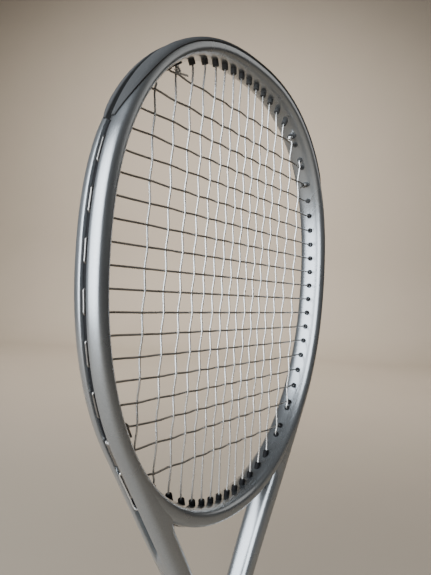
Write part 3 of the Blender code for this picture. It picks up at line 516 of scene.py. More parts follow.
def frame_ring(place):
    """Ring of the tube at a signed length along its centre line."""
    point, normal = CENTRE.at(place)
    reach = abs(place)
    depth = mix(BEAM_DEPTH, LEG_DEPTH, smooth_share(reach, HOOP_LENGTH, LEG_PLACE))
    groove = 1 - smooth_share(reach, CHANNEL_REACH, CHANNEL_REACH + CHANNEL_RAMP)
    closing = smooth_share(reach, BUMPER_REACH - LIP_RAMP, BUMPER_REACH)
    mouth = mix(CHANNEL_WIDTH / 2, LIP_HALF_WIDTH, closing)
    section = beam_section(inner_half_width(reach), outer_half_width(reach), depth / 2, groove, mouth)
    return ring_of(point, normal, section)


ring_count = round(LEG_PLACE / RING_STEP)
half_places = [LEG_PLACE * step / ring_count for step in range(1, ring_count + 1)] + [CENTRE.total]
frame_places = [-place for place in reversed(half_places)] + [0.0] + half_places
frame_shell = loft("frame_shell", [frame_ring(place) for place in frame_places])
finished(frame_shell, stands_for=("frame",))

# %% [markdown]
# ## The throat bridge
# A short beam closes the hoop above the open throat. It has the same rounded section with a shallow
# groove below for its grommet strip. Its ends run into the tube, where the paint hides the joint. There
# it is a little slimmer than the tube, so that the two skins never lie in one plane.

# %% Bridge shell
BRIDGE_DEPTH = 0.0226
BRIDGE_GROOVE = 0.0012
BRIDGE_RINGS = 60
BRIDGE_SINK = 0.00004
BRIDGE_INSET = 0.0006
BRIDGE_NARROWING = 0.0030
BRIDGE_RUN_IN = 0.012
DEEPENS_FROM = 0.55
NARROWS_FROM = 0.75
ANGLE_STEP = 0.002


def bridge_end_angle():
    """Angle of the hoop where the bridge has run well into the tube."""
    place = HOOP_LENGTH + BRIDGE_RUN_IN
    point, normal = CENTRE.at(place)
    target = point.x - normal.x * wall_distance(place)
    angle = -QUARTER
    while hoop_wall(angle).x < target:
        angle += ANGLE_STEP
    return angle


bridge_rings = []
bridge_reach = bridge_end_angle() + QUARTER
half = BRIDGE_WIDTH / 2
groove = BRIDGE_GROOVE / CHANNEL_DEPTH
for step in range(-BRIDGE_RINGS, BRIDGE_RINGS + 1):
    angle = -QUARTER + bridge_reach * step / BRIDGE_RINGS
    normal = hoop_normal(angle)
    centre = hoop_wall(angle) + normal * half
    share = abs(step) / BRIDGE_RINGS
    depth = mix(BRIDGE_DEPTH, BEAM_DEPTH - BRIDGE_INSET, smooth_share(share, DEEPENS_FROM, 1.0))
    outer = mix(half, half - BRIDGE_NARROWING, smooth_share(share, NARROWS_FROM, 1.0))
    section = beam_section(half - BRIDGE_SINK, outer, depth / 2, groove, CHANNEL_WIDTH / 2)
    bridge_rings.append(ring_of(centre, normal, section))
bridge_shell = loft("bridge_shell", bridge_rings)
finished(bridge_shell, stands_for=("throat_bridge",))

# %% [markdown]
# ## The string ends
# Each end now gets its distances: from the hoop's wall out to the strip, and on to the line where the
# string turns and runs along the channel. Two strings share a hole where one is tied off, so these ends
# stand a little to one side.

# %% Lines of the channel
STRING_RADIUS = 0.00070
STRIP_THICKNESS = 0.0008
BASE_TOP = GAP + STRIP_THICKNESS - CHANNEL_DEPTH
RUN_LEVEL = BASE_TOP + GAP + STRING_RADIUS
BRIDGE_BASE_TOP = GAP + STRIP_THICKNESS - BRIDGE_GROOVE
BRIDGE_RUN_LEVEL = BRIDGE_BASE_TOP + 2 * GAP + STRING_RADIUS
SIDE_STEPS = 600
BRIDGE_STEPS = 200


def side_track(level):
    """Line along the tube's outer side at a level over it."""
    points = []
    for step in range(SIDE_STEPS + 1):
        place = LEG_PLACE * step / SIDE_STEPS
        point, normal = CENTRE.at(place)
        points.append(point + normal * (outer_half_width(place) + level))
    return Track(points)


def bridge_track(level):
    """Line along the bridge's underside at a level below it."""
    points = []
    for step in range(BRIDGE_STEPS + 1):
        angle = -QUARTER + QUARTER * step / BRIDGE_STEPS
        points.append(hoop_wall(angle) + hoop_normal(angle) * (BRIDGE_WIDTH + level))
    return Track(points)


SIDE_TRACKS = (side_track(BASE_TOP), side_track(RUN_LEVEL))
BRIDGE_TRACKS = (bridge_track(BRIDGE_BASE_TOP), bridge_track(BRIDGE_RUN_LEVEL))
print("channel lines", round(SIDE_TRACKS[1].total, 3), "and", round(BRIDGE_TRACKS[1].total, 3), "m")

# %% String ends
LONG_LIP = 0.0035
SHARED_OFFSET = 0.000875
TIED_MAIN = 1
TIED_RIGHT = 2
TIED_LEFT = CROSSES - 3


class StringEnd:
    """A string's way out through the hoop: wall point, direction, and how far the strip and its run lie."""

    def __init__(self, hole, lip, side, tracks=SIDE_TRACKS, own=0.0):
        wall, direction = hole
        self.top = tracks[0].meet(wall, direction)[0]
        self.run, place = tracks[1].meet(wall, direction)
        self.track = tracks[1]
        self.place = place * side
        self.wall = Vector((wall.x * side, wall.y))
        self.direction = Vector((direction.x * side, direction.y))
        self.lip = lip
        self.side = side
        self.own = own

    def outward(self, distance, y):
        """Point on the hole's line, a distance out from the hoop's inner wall."""
        point = self.wall + self.direction * distance
        return Vector((point.x, y, point.y))

    def inward(self, distance, y):
        """Point on the hole's line, a distance in from the barrel's mouth."""
        return self.outward(-self.lip - distance, y)


TOPS, FEET, LEFTS, RIGHTS = [], [], [], []
for number, x in enumerate(MAIN_X):
    side = 1 if x > 0 else -1
    outward = min(number, MAINS - 1 - number)
    short = outward < OUTER_MAINS
    lip = SHORT_LIP if short else LONG_LIP
    own = SHARED_OFFSET if outward == TIED_MAIN else 0.0
    foot_tracks = SIDE_TRACKS if short else BRIDGE_TRACKS
    TOPS.append(StringEnd(find_hole(NUDGE, QUARTER, 0, abs(x), lip), lip, side, own=own))
    FEET.append(StringEnd(find_hole(-QUARTER, -NUDGE, 0, abs(x), lip, not short), lip, side, foot_tracks))
for number, z in enumerate(CROSS_Z):
    hole = find_hole(NUDGE - QUARTER, QUARTER - NUDGE, 1, z, SHORT_LIP)
    left_own = SHARED_OFFSET if number == TIED_LEFT else 0.0
    right_own = -SHARED_OFFSET if number == TIED_RIGHT else 0.0
    LEFTS.append(StringEnd(hole, SHORT_LIP, -1, own=left_own))
    RIGHTS.append(StringEnd(hole, SHORT_LIP, 1, own=right_own))
print(len(TOPS + FEET), "main ends and", len(LEFTS + RIGHTS), "cross ends")

# %% [markdown]
# ## One grommet barrel
# Every string end is sleeved in a small nylon barrel, so that the drilled edge can't cut it. One barrel
# is modelled by hand: a cylinder whose mouth is inset and pushed in to make the bore, with its rim
# bevelled round. It is then copied to each hole and stretched only between its two ends, so that the rim
# keeps its shape. A copy for a hole that two strings share is widened as well.

# %% Barrel master
BARREL_RADIUS = 0.0023
BARREL_BORE = 0.0011
BARREL_LENGTH = 0.010
BARREL_SIDES = 14
BORE_DEPTH = 0.0045
RIM_BEVEL = 0.00028
FACING = 0.9
NEARLY_ZERO = 1e-6


def barrel_master():
    """Barrel along +Z with its mouth at z = 0 and its root below."""
    bpy.ops.object.select_all(action="DESELECT")
    middle = (0, 0, -BARREL_LENGTH / 2)
    bpy.ops.mesh.primitive_cylinder_add(
        vertices=BARREL_SIDES, radius=BARREL_RADIUS, depth=BARREL_LENGTH, location=middle
    )
    barrel = bpy.context.active_object
    bpy.ops.object.transform_apply(location=True, rotation=True, scale=True)
    bpy.ops.object.mode_set(mode="EDIT")
    bpy.ops.mesh.select_mode(type="FACE")
    shape = bmesh.from_edit_mesh(barrel.data)
    for face in shape.faces:
        face.select_set(face.normal.z > FACING)
    bmesh.update_edit_mesh(barrel.data)
    bpy.ops.mesh.inset(thickness=BARREL_RADIUS - BARREL_BORE, depth=0)
    bpy.ops.mesh.extrude_region_move(TRANSFORM_OT_translate={"value": (0, 0, -BORE_DEPTH)})
    bpy.ops.mesh.select_mode(type="EDGE")
    bpy.ops.mesh.select_all(action="DESELECT")
    shape = bmesh.from_edit_mesh(barrel.data)
    for edge in shape.edges:
        first, second = edge.verts
        rim = all(abs(vert.co.z) < NEARLY_ZERO for vert in edge.verts)
        around = abs(first.co.xy.length - second.co.xy.length) < NEARLY_ZERO
        edge.select_set(rim and around)
    bmesh.update_edit_mesh(barrel.data)
    bpy.ops.mesh.bevel(offset=RIM_BEVEL, segments=2, affect="EDGES")
    bpy.ops.object.mode_set(mode="OBJECT")
    return barrel


BARREL = barrel_master()
print("barrel", len(BARREL.data.polygons), "faces")


# %% Barrels on a strip
ROOT_FROM = 0.7
SHARED_STRETCH = 1.9


def add_barrels(strip, ends):
    """Copies the barrel to each string end and joins the copies to a strip."""
    copies = []
    for end in ends:
        length = end.lip + end.top
        copy = bpy.data.objects.new("barrel_copy", BARREL.data.copy())
        bpy.context.scene.collection.objects.link(copy)
        for vertex in copy.data.vertices:
            if vertex.co.z < -BARREL_LENGTH * ROOT_FROM:
                vertex.co.z = -length
        axis = Vector((-end.direction.x, 0, -end.direction.y))
        across = Vector((0, 1, 0)).cross(axis)
        stretch = SHARED_STRETCH if end.own else 1.0
        turn = Matrix((across, Vector((0, stretch, 0)), axis)).transposed().to_4x4()
        copy.data.transform(Matrix.Translation(end.inward(0, 0)) @ turn)
        copies.append(copy)
    bpy.ops.object.select_all(action="DESELECT")
    for copy in copies:
        copy.select_set(True)
    strip.select_set(True)
    bpy.context.view_layer.objects.active = strip
    bpy.ops.object.join()
    return strip


# %% [markdown]
# ## The bumper guard
# A dark plastic guard rides over the top of the hoop and takes the scrapes. It lies on both flanges,
# flush with the tube, dips into the channel to carry the strings, and narrows to a pointed tongue at each
# end. It is a loft on the same lines as the tube, a hair above its skin, with rounded edges and the
# barrels joined below.

# %% Bumper guard
BUMPER_HALF_COVER = 0.01175
TONGUE_LENGTH = 0.053
TONGUE_POWER = 2.2
TONGUE_POINT = 0.04
BUMPER_WALL = 0.0005
BUMPER_EDGE = 0.0006
EDGE_ROUND = ((0.95, BUMPER_EDGE + GAP), (0.99, BUMPER_EDGE), (1.0, BUMPER_EDGE / 2))
GROOVE_LIP = ((0.0005, 0.0), (0.0001, 0.0003))
SKIN_GAP = GAP / 3
SKIN_STEPS = 7


def bumper_section(place):
    """The guard's outline at a signed length along the tube: under side, then upper side."""
    reach = abs(place)
    outer = outer_half_width(reach)
    half_depth = BEAM_DEPTH / 2
    narrowing = max((reach - BUMPER_REACH + TONGUE_LENGTH) / TONGUE_LENGTH, 0.0) ** TONGUE_POWER
    wall = CHANNEL_WIDTH / 2 - GAP
    foot = wall - CHANNEL_DRAFT
    floor = outer - CHANNEL_DEPTH + GAP
    first = turn_at(FLANGE, half_depth)
    last = mix(turn_at(BUMPER_HALF_COVER, half_depth), first + TONGUE_POINT, narrowing)

    def skin(share, lift):
        """Point at a share of the way over the flange, lifted off the tube."""
        out, y = on_outline(mix(first, last, share), outer, half_depth)
        slope = Vector((signed_power(out / outer, 2) / outer, signed_power(y / half_depth, 2) / half_depth))
        slope.normalize()
        return out + slope.x * lift, y + slope.y * lift

    under = [skin(1 - step / SKIN_STEPS, SKIN_GAP) for step in range(SKIN_STEPS + 1)]
    rim = under[-1][0]
    under += [(rim, -wall), (floor, -foot)]
    inner = foot - BUMPER_WALL
    lip = rim + BUMPER_THICKNESS
    top = [(floor + STRIP_THICKNESS, -inner)]
    top += [(lip - drop, -inner - aside) for drop, aside in GROOVE_LIP]
    for step in range(SKIN_STEPS):
        share = step / SKIN_STEPS
        top.append(skin(share, mix(BUMPER_THICKNESS, BUMPER_EDGE + GAP, share)))
    top += [skin(share, lift) for share, lift in EDGE_ROUND]
    back = [(out, -y) for out, y in reversed(under)]
    return under + back + [(out, -y) for out, y in reversed(top)] + top


bumper_steps = round(BUMPER_REACH / RING_STEP)
bumper_rings = []
for step in range(-bumper_steps, bumper_steps + 1):
    place = BUMPER_REACH * step / bumper_steps
    point, normal = CENTRE.at(place)
    bumper_rings.append(ring_of(point, normal, bumper_section(place)))
bumper = loft("bumper_shell", bumper_rings)
add_barrels(bumper, TOPS + LEFTS[:BUMPER_CROSSES] + RIGHTS[:BUMPER_CROSSES])
finished(bumper, stands_for=("bumper_guard",))

# %% [markdown]
# ## The grommet strips
# Three thin black strips lie in the channel: one down each side below the guard, and one in the groove
# under the bridge, whose long barrels stand well into the hoop. Each is a flat ribbon lofted along the
# channel, with its barrels joined on.

# %% Side and throat strips
SIDE_HALF_WIDTH = LIP_HALF_WIDTH - CHANNEL_DRAFT - SKIN_GAP
THROAT_HALF_WIDTH = CHANNEL_WIDTH / 2 - CHANNEL_DRAFT - GAP


def ribbon(low, half_width):
    """Section of a flat strip, as (outward, y) pairs."""
    high = low + STRIP_THICKNESS
    return [(low, -half_width), (low, half_width), (high, half_width), (high, -half_width)]


def side_strip(name, ends, node):
    """Strip along one side's channel, from the guard down."""
    first = BUMPER_REACH + 2 * GAP
    count = round((STRIP_REACH - first) / RING_STEP)
    rings = []
    for step in range(count + 1):
        place = mix(first, STRIP_REACH, step / count)
        point, normal = CENTRE.at(place * ends[0].side)
        low = outer_half_width(place) - CHANNEL_DEPTH + GAP
        rings.append(ring_of(point, normal, ribbon(low, SIDE_HALF_WIDTH)))
    strip = add_barrels(loft(name, rings), ends)
    return finished(strip, stands_for=(node,))


def throat_strip():
    """Strip in the groove under the bridge."""
    ends = FEET[OUTER_MAINS:-OUTER_MAINS]
    target = BRIDGE_TRACKS[1].at(ends[-1].place + STRIP_TAIL / 2)[0].x
    reach = 0.0
    while hoop_wall(reach - QUARTER).x + hoop_normal(reach - QUARTER).x * BRIDGE_WIDTH < target:
        reach += ANGLE_STEP
    low = BRIDGE_WIDTH - BRIDGE_GROOVE + GAP
    rings = []
    for step in range(-BRIDGE_RINGS, BRIDGE_RINGS + 1):
        angle = -QUARTER + reach * step / BRIDGE_RINGS
        rings.append(ring_of(hoop_wall(angle), hoop_normal(angle), ribbon(low, THROAT_HALF_WIDTH)))
    strip = add_barrels(loft("throat_strip", rings), ends)
    return finished(strip, stands_for=("grommet_strip_throat",))


left_ends = LEFTS[BUMPER_CROSSES:] + FEET[:OUTER_MAINS]
right_ends = RIGHTS[BUMPER_CROSSES:] + FEET[-OUTER_MAINS:]
left_strip = side_strip("left_strip", left_ends, "grommet_strip_left")
right_strip = side_strip("right_strip", right_ends, "grommet_strip_right")
lower_strip = throat_strip()
bpy.data.objects.remove(BARREL)

# %% [markdown]
# ## The strings
# Two strings are woven through each other, one up and down and one from side to side, over and under at
# each crossing. Each runs out through a hole, along the channel and back in through the next. A curve
# suits a string: it gets a round bevel, and a smooth spline through a few points at each crossing and
# bend gives the gentle wave of a string under tension. Its ends are tied round a neighbour, two turns and
# a cut tail.

# %% Runs along the channel
RUN_STEP = 0.006
CORNER_REACH = 0.0008
LANE_REACH = 0.0026
CORNER_LEAN = 0.4


def run_points(start, stop, lane, start_y, stop_y):
    """A string's way along the channel from one hole to the next, in a lane beside the others."""
    onward = math.copysign(1.0, stop.place - start.place)
    low = start.place + onward * LANE_REACH
    high = stop.place - onward * LANE_REACH
    count = max(1, round(abs(high - low) / RUN_STEP))
    stops = [(start.place + onward * CORNER_REACH, mix(start_y, lane, CORNER_LEAN))]
    stops += [(mix(low, high, step / count), lane) for step in range(count + 1)]
    stops.append((stop.place - onward * CORNER_REACH, mix(stop_y, lane, CORNER_LEAN)))
    route = [start.outward(start.run - CORNER_REACH, start_y)]
    for place, y in stops:
        point, _ = start.track.at(place)
        route.append(Vector((point.x, y, point.y)))
    route.append(stop.outward(stop.run - CORNER_REACH, stop_y))
    return route


# %% Knots
KNOT_RADIUS = 0.00128
KNOT_PITCH = 0.0013
KNOT_TURNS = 2.25
KNOT_START = 0.0012
KNOT_ROOT = 0.002
KNOT_STEPS = 8
KNOT_LEAN = 0.4
TAIL_SHARES = (0.25, 0.6, 1.0)
FULL_TURN = 2 * math.pi


def knot_points(end, tail):
    """A tied end: out of the shared hole, two turns round the string beside it, then a cut tail."""
    own = end.own
    side = -math.copysign(1.0, own)
    inward = Vector((-end.direction.x, 0, -end.direction.y))
    across = Vector((0, 1, 0)).cross(inward)
    route = [end.inward(-KNOT_ROOT, side * abs(own)), end.inward(0.0, side * abs(own))]
    steps = round(KNOT_TURNS * KNOT_STEPS)
    for step in range(steps + 1):
        turn = FULL_TURN * step / KNOT_STEPS
        lean = mix(own, 0.0, step / steps * KNOT_LEAN)
        drop = KNOT_START + KNOT_PITCH * turn / FULL_TURN
        point = end.inward(drop, lean)
        point += Vector((0, 1, 0)) * (side * KNOT_RADIUS * math.cos(turn))
        point += across * (KNOT_RADIUS * math.sin(turn))
        route.append(point)
    last = route[-1]
    return route + [last + tail * share for share in TAIL_SHARES]


# %% Routes of the two strings
WEAVE = 0.00070
LANE = 0.00175
FIRST_MAIN_TAIL = Vector((0.008, -0.0012, 0.0012))
LAST_MAIN_TAIL = Vector((0.0055, -0.001, 0.0008))
FIRST_CROSS_TAIL = Vector((-0.003, 0.0012, -0.0035))
LAST_CROSS_TAIL = Vector((0.0025, -0.001, -0.0065))


def weave_sign(main, cross):
    """-1 where the main passes in front of the cross, +1 where it passes behind."""
    return 1 if (main + cross) % 2 == 1 else -1


def main_route():
    """The upright string, from its knot at the top left to its knot at the top right."""
    first, last = TOPS[TIED_MAIN], TOPS[-1 - TIED_MAIN]
    route = knot_points(first, FIRST_MAIN_TAIL)[::-1]
    route += run_points(first, TOPS[0], -LANE, -SHARED_OFFSET, 0.0)
    for number, x in enumerate(MAIN_X):
        top, foot = TOPS[number], FEET[number]
        low, high = foot.inward(GAP, 0.0), top.inward(GAP, top.own)
        field = [Vector((x, weave_sign(number, c) * WEAVE, z)) for c, z in enumerate(CROSS_Z)]
        field = [p for p in field if low.z + CORNER_REACH < p.z < high.z - CORNER_REACH]
        downward = number % 2 == 0
        line = [high] + field + [low]
        route += line if downward else line[::-1]
        if number == MAINS - 1:
            break
        if downward:
            lane = LANE if number in (0, MAINS - 2) else 0.0
            route += run_points(foot, FEET[number + 1], lane, 0.0, 0.0)
        else:
            route += run_points(top, TOPS[number + 1], 0.0, top.own, TOPS[number + 1].own)
    route += run_points(TOPS[-1], last, -LANE, 0.0, -SHARED_OFFSET)
    return route + knot_points(last, LAST_MAIN_TAIL)


def cross_route():
    """The crosswise string, from its knot at the upper right to its knot at the lower left."""
    first, last = RIGHTS[TIED_RIGHT], LEFTS[TIED_LEFT]
    route = knot_points(first, FIRST_CROSS_TAIL)[::-1]
    route += run_points(first, RIGHTS[0], LANE, SHARED_OFFSET, 0.0)
    for number, z in enumerate(CROSS_Z):
        left, right = LEFTS[number], RIGHTS[number]
        low, high = left.inward(GAP, left.own), right.inward(GAP, right.own)
        field = [Vector((x, -weave_sign(m, number) * WEAVE, z)) for m, x in enumerate(MAIN_X)]
        field = [p for p in field if low.x + CORNER_REACH < p.x < high.x - CORNER_REACH]
        leftward = number % 2 == 0
        line = [low] + field + [high]
        route += line[::-1] if leftward else line
        if number == CROSSES - 1:
            break
        here, onward = (LEFTS if leftward else RIGHTS)[number : number + 2]
        lane = LANE if leftward and number == 0 else 0.0
        lane = -LANE if not leftward and number == CROSSES - 2 else lane
        route += run_points(here, onward, lane, here.own, onward.own)
    route += run_points(LEFTS[-1], last, -LANE, 0.0, -SHARED_OFFSET)
    return route + knot_points(last, LAST_CROSS_TAIL)


# %% String tubes
SPLINE_STEPS = 4


def smoothed(points):
    """Points on a smooth line through all the given ones, closest together at the tight bends."""
    ends = [points[0] * 2 - points[1]] + points + [points[-1] * 2 - points[-2]]
    line = []
    for a, b, c, d in zip(ends, ends[1:], ends[2:], ends[3:]):
        ta = 0.0
        tb = ta + max((b - a).length, NEARLY_ZERO) ** 0.5
        tc = tb + max((c - b).length, NEARLY_ZERO) ** 0.5
        td = tc + max((d - c).length, NEARLY_ZERO) ** 0.5
        for step in range(SPLINE_STEPS):
            t = mix(tb, tc, step / SPLINE_STEPS)
            ab = a.lerp(b, (t - ta) / (tb - ta))
            bc = b.lerp(c, (t - tb) / (tc - tb))
            cd = c.lerp(d, (t - tc) / (td - tc))
            abc = ab.lerp(bc, (t - ta) / (tc - ta))
            bcd = bc.lerp(cd, (t - tb) / (td - tb))
            line.append(abc.lerp(bcd, (t - tb) / (tc - tb)))
    return line + [points[-1]]


def string_piece(name, route, node):
    """Round tube along a smoothed route."""
    line = smoothed(route)
    data = bpy.data.curves.new(name, "CURVE")
    data.dimensions = "3D"
    data.bevel_depth = STRING_RADIUS
    data.bevel_resolution = 2
    data.use_fill_caps = True
    spline = data.splines.new("POLY")
    spline.points.add(len(line) - 1)
    for target, point in zip(spline.points, line):
        target.co = (*point, 1.0)
    piece = bpy.data.objects.new(name, data)
    bpy.context.scene.collection.objects.link(piece)
    only(piece)
    bpy.ops.object.convert(target="MESH")
    return finished(piece, stands_for=(node,), sharp=60)


main_piece = string_piece("main_string_round", main_route(), "main_string")
cross_piece = string_piece("cross_string_round", cross_route(), "cross_string")

# %% [markdown]
# ## The wound grip
# The handle is an octagon wrapped in a soft strip that climbs it in overlapping turns. Each turn's lower
# edge shows as a step, so the sleeve's skin rises slowly along a turn and drops at the seam. The same
# rounded octagon gives the cap, the tape and the collar, each with its own list of heights.

# %% Rounded octagon rings
HANDLE_WIDTH = 0.0310
HANDLE_DEPTH = 0.0270
HANDLE_BEVEL = 0.0065
CORNER_ROUND = 0.0030
ARC_STEPS = 4
FLAT_STEPS = 4


def octagon_corners(grown):
    """Corners of the handle's octagon, grown or shrunk all round, in order."""
    x, y = HANDLE_WIDTH / 2 + grown, HANDLE_DEPTH / 2 + grown
    bevel = HANDLE_BEVEL + grown * (2 - math.sqrt(2))
    right = [(x, -(y - bevel)), (x, y - bevel), (x - bevel, y)]
    left = [(-(x - bevel), y), (-x, y - bevel), (-x, -(y - bevel))]
    return [Vector(p) for p in right + left + [(-(x - bevel), -y), (x - bevel, -y)]]


OCTAGON_NORMALS = [Vector((math.cos(i * math.pi / 4), math.sin(i * math.pi / 4))) for i in range(8)]


def octagon_ring(z, reach, rounding=CORNER_ROUND):
    """Ring round the handle, reach(share of a turn) outside its flats, with rounded corners."""
    corners = octagon_corners(-rounding)
    places = []
    for index, corner in enumerate(corners):
        before, after = OCTAGON_NORMALS[index - 1], OCTAGON_NORMALS[index]
        for step in range(ARC_STEPS + 1):
            places.append((corner, before.lerp(after, step / ARC_STEPS).normalized()))
        onward = corners[(index + 1) % len(corners)]
        for step in range(1, FLAT_STEPS):
            places.append((corner.lerp(onward, step / FLAT_STEPS), after))
    ring = []
    for corner, normal in places:
        x, y = corner.x + normal.x * rounding, corner.y + normal.y * rounding
        share = math.atan2(y, x) / FULL_TURN % 1.0
        point = corner + normal * (rounding + reach(share))
        ring.append(Vector((point.x, point.y, z)))
    return ring


# %% Wound grip sleeve
CAP_FLARE = 0.0050
CAP_FLARE_FOOT = 0.005
CAP_FLARE_TOP = 0.016
GRIP_FOOT = 0.0125
GRIP_TOP = 0.186
GRIP_THICKNESS = 0.0014
GRIP_RIDGE = 0.0007
GRIP_PITCH = 0.022
GRIP_RISE = 0.05
GRIP_FALL = 0.93
RIDGE_SEAM = -0.1
RIDGE_CREST = 1.0
RIDGE_END = 0.3
GRIP_LEVELLING = 0.010
FOOT_ROUND = 0.0012
FOOT_SHARE = 0.55
GRIP_RINGS = 210
TAPE_WIDTH = 0.012


def flare_at(z):
    """How far the cap's flare stands out from the handle at a height."""
    share = (z - CAP_FLARE_FOOT) / (CAP_FLARE_TOP - CAP_FLARE_FOOT)
    return CAP_FLARE * (1 - min(max(share, 0.0), 1.0))


def wrap_reach(z, share):
    """How far the wound strip's outer side stands out: a slow rise, then a drop at the seam."""
    phase = (z / GRIP_PITCH - share) % 1.0
    if phase < GRIP_RISE:
        ridge = mix(RIDGE_SEAM, RIDGE_CREST, phase / GRIP_RISE)
    elif phase > GRIP_FALL:
        ridge = mix(RIDGE_END, RIDGE_SEAM, (phase - GRIP_FALL) / (1 - GRIP_FALL))
    else:
        ridge = mix(RIDGE_CREST, RIDGE_END, (phase - GRIP_RISE) / (GRIP_FALL - GRIP_RISE))
    level = smooth_share(z, GRIP_TOP - GRIP_LEVELLING - TAPE_WIDTH, GRIP_TOP - TAPE_WIDTH)
    foot = smooth_share(z, GRIP_FOOT, GRIP_FOOT + FOOT_ROUND)
    thickness = GRIP_THICKNESS * mix(FOOT_SHARE, 1.0, foot)
    return flare_at(z) + GAP + thickness + GRIP_RIDGE * ridge * (1 - level)


grip_rings = []
for step in range(GRIP_RINGS + 1):
    z = mix(GRIP_FOOT, GRIP_TOP, step / GRIP_RINGS)
    grip_rings.append(octagon_ring(z, lambda share, z=z: wrap_reach(z, share)))
for z in (GRIP_TOP, CAP_FLARE_TOP, GRIP_FOOT):
    grip_rings.append(octagon_ring(z, lambda share, z=z: flare_at(z) + GAP / 2))
grip = loft("wound_grip", grip_rings, closed=True)
finished(grip, stands_for=("grip_wrap",), sharp=50)

# %% [markdown]
# ## Cap, tape and collar
# The butt cap flares out to stop the hand from slipping, and its end is sunk a little inside a rim, so
# that the racket stands on the rim alone. A band of tape holds the grip's upper end, and a rubber collar
# slides over it. All three are rings at a few heights with rounded edges. The collar rides on its own
# body, because a player rolls it up to change the grip.

# %% Handle rings


def sleeve(name, profile, closed=True):
    """Rounded octagonal ring through a profile of (height, distance out from the handle) pairs."""
    rings = [octagon_ring(z, lambda share, grown=grown: grown) for z, grown in profile]
    return loft(name, rings, closed)


# %% Butt cap
# Pairs of height and distance in from the flare, from the sunken end over the rim, and then up the neck.
CAP_END = ((0.0007, 0.0064), (0.0002, 0.0059), (0.0, 0.0054), (0.0, 0.0016), (0.0002, 0.0009))
CAP_RIM = ((0.0007, 0.0003), (0.0016, 0.0), (CAP_FLARE_FOOT - 0.0006, 0.0), (CAP_FLARE_FOOT + 0.001, 0.0006))
CAP_NECK = [(0.0122, 0.0017), (CAP_FLARE_TOP, -0.0004), (0.027, -0.0004), (0.0275, -0.0012)]
cap_profile = [(z, CAP_FLARE - inset) for z, inset in CAP_END + CAP_RIM] + CAP_NECK
cap_shell = sleeve("cap_shell", cap_profile, closed=False)
finished(cap_shell, stands_for=("butt_cap",))

# %% Finishing tape
TAPE_THICKNESS = 0.0005
tape_low = GRIP_TOP - TAPE_WIDTH + GAP
tape_in = GRIP_THICKNESS + 2 * GAP
tape_out = tape_in + TAPE_THICKNESS
tape_profile = [(tape_low, tape_in), (tape_low, tape_out), (GRIP_TOP, tape_out), (GRIP_TOP, tape_in)]
tape_band = sleeve("tape_band", tape_profile)
finished(tape_band, stands_for=("finishing_tape",))

# %% Rubber collar
COLLAR_LOWER = 0.010
COLLAR_HEIGHT = 0.024
COLLAR_WALL = 0.0012
COLLAR_NECK = 0.0008
COLLAR_EDGE = 0.0004
COLLAR_BEND = 0.001
BEND_DROP = 0.0002
MOUTH_EDGE = 0.0003
# Pairs of height over the collar's foot and depth of its groove, and of depth below its top and inset.
COLLAR_GROOVE = ((0.0030, 0.0), (0.0034, 0.0003), (0.0042, 0.0003), (0.0046, 0.0))
COLLAR_MOUTH = ((0.001, -0.0001), (COLLAR_EDGE, 0.0001), (0.0, 0.0005))

bore = GRIP_THICKNESS + TAPE_THICKNESS + 3 * GAP
skirt = bore + COLLAR_WALL
neck = COLLAR_NECK + COLLAR_WALL
collar_low = GRIP_TOP - COLLAR_LOWER
collar_top = collar_low + COLLAR_HEIGHT
foot = [(COLLAR_EDGE, bore), (0.0, bore + COLLAR_EDGE), (0.0, skirt - COLLAR_EDGE), (COLLAR_EDGE, skirt)]
groove = [(up, skirt - sunk) for up, sunk in COLLAR_GROOVE]
mouth = [(down, neck - inset) for down, inset in COLLAR_MOUTH]
mouth += [(0.0, COLLAR_NECK + MOUTH_EDGE), (COLLAR_EDGE, COLLAR_NECK)]
inner_step = GRIP_TOP + 2 * GAP
collar_profile = [(collar_low + up, out) for up, out in foot + groove]
collar_profile += [(GRIP_TOP - COLLAR_BEND, skirt), (GRIP_TOP + COLLAR_BEND, skirt - BEND_DROP)]
collar_profile += [(collar_top - down, out) for down, out in mouth]
collar_profile += [(inner_step + COLLAR_WALL, COLLAR_NECK), (inner_step, bore)]
collar = sleeve("collar_ring", collar_profile)
finished(collar, body="collar", stands_for=("grip_collar",))

# %% [markdown]
# ## Shared effects
# Three effects are node groups, so that each is built once. One breaks a surface up with fine grain for a
# bump and a slow drift of tone, as on moulded plastic, rubber and painted tube. One gives the tiny tilted
# flakes of a metallic paint. The last gives the short worn marks of a racket that has touched the court,
# drawn out along the tube, for the guard and, more faintly, for the paint.

# %% Node helpers


def add_node(tree, kind, values=None, **settings):
    """New node of a kind, with its settings made first and then values put on inputs by their names."""
    node = tree.nodes.new(kind)
    for name, setting in settings.items():
        setattr(node, name, setting)
    for name, value in (values or {}).items():
        node.inputs[name].default_value = value
    return node


def link(tree, *wires):
    """Joins nodes; each wire is (node, output name, node, input name)."""
    for source, out, target, into in wires:
        tree.links.new(source.outputs[out], target.inputs[into])


def new_group(name, takes, gives):
    """Node group of number sockets; returned with its input, output and coordinate nodes."""
    tree = bpy.data.node_groups.new(name, "ShaderNodeTree")
    for socket in takes:
        tree.interface.new_socket(socket, in_out="INPUT", socket_type="NodeSocketFloat")
    for socket in gives:
        tree.interface.new_socket(socket, in_out="OUTPUT", socket_type="NodeSocketFloat")
    kinds = ("NodeGroupInput", "NodeGroupOutput", "ShaderNodeTexCoord")
    return tree, *[add_node(tree, kind) for kind in kinds]


# %% Node groups
SCUFF_STRETCH = (0.5, 1.8, 0.5)
SCUFF_EDGE = 0.08


